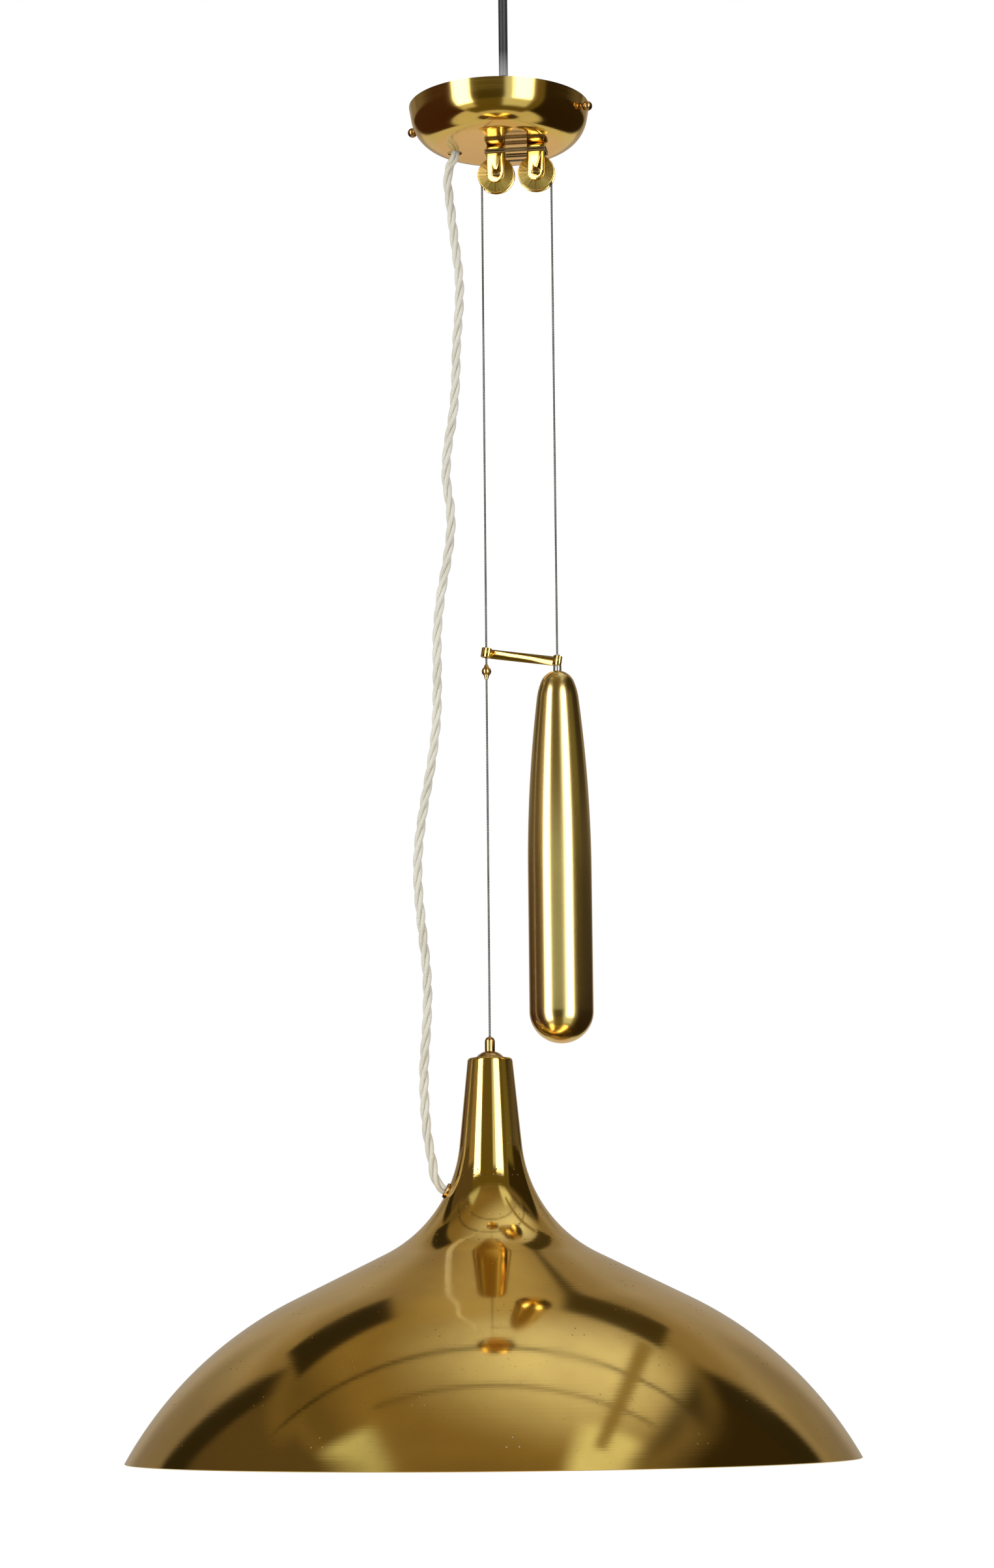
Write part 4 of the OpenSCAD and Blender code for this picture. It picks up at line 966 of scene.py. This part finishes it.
# %% Dress the nodes that stay
def dress(node, material, edge=0.15 * MM):
    """Give a node its finish, smooth shading and broken edges."""
    part = frame["nodes"][node]
    part.data.materials.clear()
    part.data.materials.append(material)
    for face in part.data.polygons:
        face.use_smooth = True
    weld = part.modifiers.new("weld", "WELD")
    weld.merge_threshold = 1e-6
    bevel = part.modifiers.new("bevel", "BEVEL")
    bevel.width, bevel.segments, bevel.limit_method = edge, 2, "ANGLE"
    bevel.angle_limit = math.radians(32)
    bevel.harden_normals = True


DRESSED = {
    "ceiling_fitting": black_plastic, "cable_grip": black_plastic, "ceiling_bracket": zinc,
    "side_screws": brass_screw, "stiffening_plate": zinc, "terminal_block": porcelain,
    "yoke_left": brass_strap, "yoke_right": brass_strap, "yoke_screws": steel, "yoke_nuts": steel,
    "axles": brass_turned, "axle_nuts": brass_turned, "sheave_left": brass_sheave,
    "sheave_right": brass_sheave, "wire_hitch": tinned_wire, "guide_arm": brass_strap,
    "weight_collar": steel, "weight_core": iron, "neck_washer": zinc, "neck_nut": zinc,
    "stem": zinc, "wire_stop": steel, "cord_bush": brass_turned, "holder_cap": black_plastic,
    "holder_insert": porcelain, "holder_contact": brass_strap, "holder_shell": brass_strap,
    "holder_skirt": black_plastic}
for node, material in DRESSED.items():
    dress(node, material)
print("dressed nodes:", len(DRESSED))

# %% [markdown]
# ## The studio
#
# Polished metal looks like what surrounds it. The camera sees a white room, but in the brass the walls have
# tall bright windows with darker stretches between them, and a tan ceiling with dark beams. The world draws
# that room for reflections only. It works from the direction of each ray: its azimuth and elevation find the
# walls and windows, and its slopes sideways and forwards find the places on the ceiling.

# %% The direction of a reflection, measured in four ways
world = bpy.data.worlds.new("studio")
bpy.context.scene.world = world
world.use_nodes = True
room = world.node_tree
room.nodes.clear()
ray = add_node(room, "ShaderNodeSeparateXYZ", {0: add_node(room, "ShaderNodeTexCoord").outputs["Generated"]})


def turned(x_share, y_share):
    """One horizontal part of the ray, along a direction of the camera's."""
    return maths(room, "ADD", maths(room, "MULTIPLY", ray.outputs["X"], x_share),
                 maths(room, "MULTIPLY", ray.outputs["Y"], y_share))


ray_right, ray_front = turned(aside.x, aside.y), turned(backward.x, backward.y)
azimuth = maths(room, "DEGREES", maths(room, "ARCTAN2", ray_right, ray_front))
elevation = maths(room, "DEGREES", maths(room, "ARCSINE", ray.outputs["Z"]))
above = maths(room, "MAXIMUM", ray.outputs["Z"], 0.05)
slope_right = maths(room, "DIVIDE", ray_right, above)
slope_front = maths(room, "DIVIDE", ray_front, above)


def past(value, edge, soft):
    """0 before the edge and 1 after it, with a soft step."""
    step = add_node(room, "ShaderNodeMapRange", {"Value": value, "From Min": edge - soft, "From Max": edge + soft},
                    interpolation_type="SMOOTHSTEP")
    return step.outputs[0]


def before(value, edge, soft):
    """1 before the edge and 0 after it."""
    return maths(room, "SUBTRACT", 1.0, past(value, edge, soft))


def between(value, low, high, soft):
    return maths(room, "MULTIPLY", past(value, low, soft), before(value, high, soft))


def both_of(a, b):
    return maths(room, "MULTIPLY", a, b)


def layer(under, color, mask):
    """Paint a colour over what is there, through a mask."""
    return mix_colors(room, mask, under, color)


# %% Walls and windows
WINDOW = (5.0, 5.0, 5.0)
DIM_WINDOW = (0.75, 0.85, 0.85)
BACK_WALL = (0.41, 0.36, 0.29)
BACK_WALL_TOP = (0.30, 0.24, 0.14)
ROSY_FLOOR = (0.72, 0.58, 0.46)
GOLDEN_FLOOR = (0.68, 0.65, 0.47)
WALL_PATCHES = (   # azimuths, elevations, softness of each in degrees, colour
    ((-156, -134), (-4, 30), (5, 8), (0.27, 0.23, 0.17)),
    ((134, 156), (-4, 30), (5, 8), (0.27, 0.23, 0.17)),
    ((-150, -64), (-53, 9), (2, 2), (0.06, 0.022, 0.008)),
    ((58, 150), (-58, 9), (3, 3), (0.025, 0.015, 0.004)),
    ((-134, -60), (9, 54), (4, 6), (0.11, 0.08, 0.04)),
    ((60, 132), (9, 48), (4, 5), (0.035, 0.024, 0.005)),
    ((-84, -58), (8, 26), (5, 3), (0.34, 0.26, 0.14)),
    ((40, 86), (9, 26), (8, 4), (0.17, 0.15, 0.05)),
    ((-62, 60), (-68, 54), (4, 3), (0.14, 0.105, 0.022)),
    ((-36, 10), (-25, 1), (3, 3), (0.07, 0.055, 0.012)),
    ((-38, 10), (3, 12.5), (3, 1.5), (0.49, 0.54, 0.43)),
    ((-62, -38), (-48, -28), (3, 5), (0.75, 0.70, 0.45)),
    ((6, 46), (-50, -22), (3, 6), (0.75, 0.80, 0.62)),
    ((-61, -38), (-32, 37), (1.5, 3), WINDOW),
    ((8, 20), (-30, 34), (3, 4), DIM_WINDOW),
    ((19, 44), (-24, 37), (2.5, 4), WINDOW))

picture = layer(BACK_WALL, ROSY_FLOOR, before(elevation, -6, 4))
picture = layer(picture, BACK_WALL_TOP, past(elevation, 37, 5))
picture = layer(picture, GOLDEN_FLOOR, both_of(between(azimuth, -168, 168, 10), before(elevation, -8, 6)))
for (left, right), (low, high), (soft_aside, soft_up), color in WALL_PATCHES:
    patch = both_of(between(azimuth, left, right, soft_aside), between(elevation, low, high, soft_up))
    picture = layer(picture, color, patch)
print("wall patches:", len(WALL_PATCHES))

# %% Ceiling, brighter on one side, with its beams and mouldings
CEILING = (0.27, 0.20, 0.085)
CEILING_GLOW = (0.98, 1.02, 0.98)
GLOW_AT = (0.27, -0.15)
DARK = (0.03, 0.023, 0.010)
CEILING_PATCHES = (   # slopes aside, slopes to the front, softness, colour
    ((-0.20, 0.20), (-1.15, -0.50), 0.15, (0.48, 0.40, 0.22)),
    ((-3.0, -0.58), (-0.6, 0.9), 0.12, (0.15, 0.11, 0.045)),
    ((0.70, 3.0), (-0.9, 0.9), 0.08, (0.045, 0.032, 0.010)),
    ((-0.50, 0.40), (0.62, 2.0), 0.10, (0.20, 0.15, 0.06)),
    ((-0.98, -0.50), (0.20, 0.75), 0.06, (0.60, 0.64, 0.50)),
    ((0.36, 0.66), (0.24, 0.85), 0.06, (0.85, 0.90, 0.75)),
    ((-2.6, 2.6), (-0.205, -0.18), 0.008, DARK),
    ((-0.45, 0.66), (0.07, 0.09), 0.006, (0.10, 0.07, 0.03)),
    ((0.445, 0.51), (-0.55, 0.40), 0.02, (0.30, 0.24, 0.12)))
BEAMS = (   # slopes aside, slopes to the front, slant, colour
    ((-0.68, -0.28), (-1.16, -0.745), 0.4, DARK),
    ((0.19, 0.54), (-1.04, -0.66), -0.15, (0.06, 0.045, 0.015)))

on_front = past(elevation, 51, 3)
on_back = both_of(past(elevation, 47, 4), before(slope_front, -0.1, 0.15))
overhead = maths(room, "MAXIMUM", on_front, on_back)
picture = layer(picture, CEILING, overhead)
off_glow = [maths(room, "SUBTRACT", slope, place) for slope, place in zip((slope_right, slope_front), GLOW_AT)]
glow_reach = maths(room, "SQRT", maths(room, "ADD", *[maths(room, "MULTIPLY", off, off) for off in off_glow]))
picture = layer(picture, CEILING_GLOW, both_of(before(glow_reach, 0.36, 0.36), overhead))
for (left, right), (far, near), softness, color in CEILING_PATCHES:
    patch = both_of(between(slope_right, left, right, softness), between(slope_front, far, near, softness))
    picture = layer(picture, color, both_of(patch, overhead))
for (left, right), (far, near), slant, color in BEAMS:
    slanted = maths(room, "ADD", slope_front, maths(room, "MULTIPLY", slope_right, slant))
    beam = both_of(between(slope_right, left, right, 0.02), between(slanted, far, near, 0.03))
    picture = layer(picture, color, both_of(beam, past(ray.outputs["Z"], 0.5, 0.05)))
for left, right in ((-134, -121), (119, 131)):
    wall_beam = both_of(between(azimuth, left, right, 2), between(elevation, 16, 45, 3))
    picture = layer(picture, DARK, wall_beam)
print("ceiling patches:", len(CEILING_PATCHES), "beams:", len(BEAMS))

# %% The room for the metal, and white for the camera
rays = add_node(room, "ShaderNodeLightPath")
plain = add_node(room, "ShaderNodeBackground", {"Color": (1, 1, 1, 1), "Strength": 1.0})
soft = add_node(room, "ShaderNodeBackground", {"Color": (1, 1, 1, 1), "Strength": 0.75})
mirrored = add_node(room, "ShaderNodeBackground", {"Color": picture, "Strength": 1.0})
seen = maths(room, "MAXIMUM", rays.outputs["Is Camera Ray"], rays.outputs["Is Transmission Ray"])
for_metal = add_node(room, "ShaderNodeMixShader",
                     {0: rays.outputs["Is Glossy Ray"], 1: soft.outputs[0], 2: mirrored.outputs[0]})
for_all = add_node(room, "ShaderNodeMixShader", {0: seen, 1: for_metal.outputs[0], 2: plain.outputs[0]})
add_node(room, "ShaderNodeOutputWorld", {"Surface": for_all.outputs[0]})

# %% [markdown]
# ## Lamps and floor
#
# Two broad, soft lamps give the cord and the plastic their shape. They don't show in the metal, which has the
# room to reflect. The floor lies a room's height below the ceiling, white where the camera looks. It keeps a
# faint shadow of the shade, and fades to plain white further out, so that its edge doesn't show.

# %% Lamps
def soft_lamp(name, at, aim, size, watts):
    light = bpy.data.lights.new(name, "AREA")
    light.shape, light.size, light.energy = "DISK", size, watts
    lamp = bpy.data.objects.new(name, light)
    lamp.location = at
    lamp.rotation_mode = "QUATERNION"
    lamp.rotation_quaternion = (Vector(aim) - Vector(at)).to_track_quat("-Z", "Y")
    lamp.visible_glossy = False
    lamp.visible_camera = False
    bpy.context.scene.collection.objects.link(lamp)
    return lamp


LAMP_AIM = (0, 0, -0.6)
soft_lamp("key_lamp", (-1.6, -2.4, 0.3), LAMP_AIM, 1.6, 26)
soft_lamp("fill_lamp", (2.2, -1.8, -0.6), LAMP_AIM, 1.8, 12)

# %% Floor
FLOOR_Z = -2.45
FLOOR_WHITE = 0.85
FADE_FROM, FADE_TO = 1.5, 5.0
floor_bm = bmesh.new()
bmesh.ops.create_grid(floor_bm, x_segments=1, y_segments=1, size=6, matrix=Matrix.Translation((0, 0, FLOOR_Z)))
floor_material, floor_tree, floor_shader = new_material("pale_floor")
floor_shader.inputs["Base Color"].default_value = (0.86, 0.85, 0.83, 1)
floor_shader.inputs["Roughness"].default_value = 0.9
floor_rays = add_node(floor_tree, "ShaderNodeLightPath")
floor_white = add_node(floor_tree, "ShaderNodeEmission", {"Color": (1, 1, 1, 1), "Strength": 1.0})
floor_seen = maths(floor_tree, "MAXIMUM", floor_rays.outputs["Is Camera Ray"],
                   floor_rays.outputs["Is Transmission Ray"])
floor_place = add_node(floor_tree, "ShaderNodeSeparateXYZ",
                       {0: add_node(floor_tree, "ShaderNodeTexCoord").outputs["Object"]})
floor_reach = maths(floor_tree, "SQRT", maths(floor_tree, "ADD", *[
    maths(floor_tree, "MULTIPLY", floor_place.outputs[way], floor_place.outputs[way]) for way in "XY"]))
floor_share = add_node(floor_tree, "ShaderNodeMapRange",
                       {"Value": floor_reach, "From Min": FADE_FROM, "From Max": FADE_TO, "To Min": FLOOR_WHITE},
                       interpolation_type="SMOOTHSTEP")
floor_mix = add_node(floor_tree, "ShaderNodeMixShader",
                     {0: maths(floor_tree, "MULTIPLY", floor_seen, floor_share.outputs[0]),
                      1: floor_shader.outputs[0], 2: floor_white.outputs[0]})
floor_back = add_node(floor_tree, "ShaderNodeNewGeometry").outputs["Backfacing"]
floor_clear = add_node(floor_tree, "ShaderNodeBsdfTransparent")
floor_sided = add_node(floor_tree, "ShaderNodeMixShader",
                       {0: floor_back, 1: floor_mix.outputs[0], 2: floor_clear.outputs[0]})
floor_tree.links.new(floor_sided.outputs[0], floor_tree.nodes["Material Output"].inputs["Surface"])
floor = make_piece("floor", floor_bm, [floor_material])
floor.visible_glossy = False

# %% [markdown]
# ## Last lines
#
# The picture keeps plain colours, without a film look.

# %% Finish
bpy.context.scene.view_settings.view_transform = "Standard"
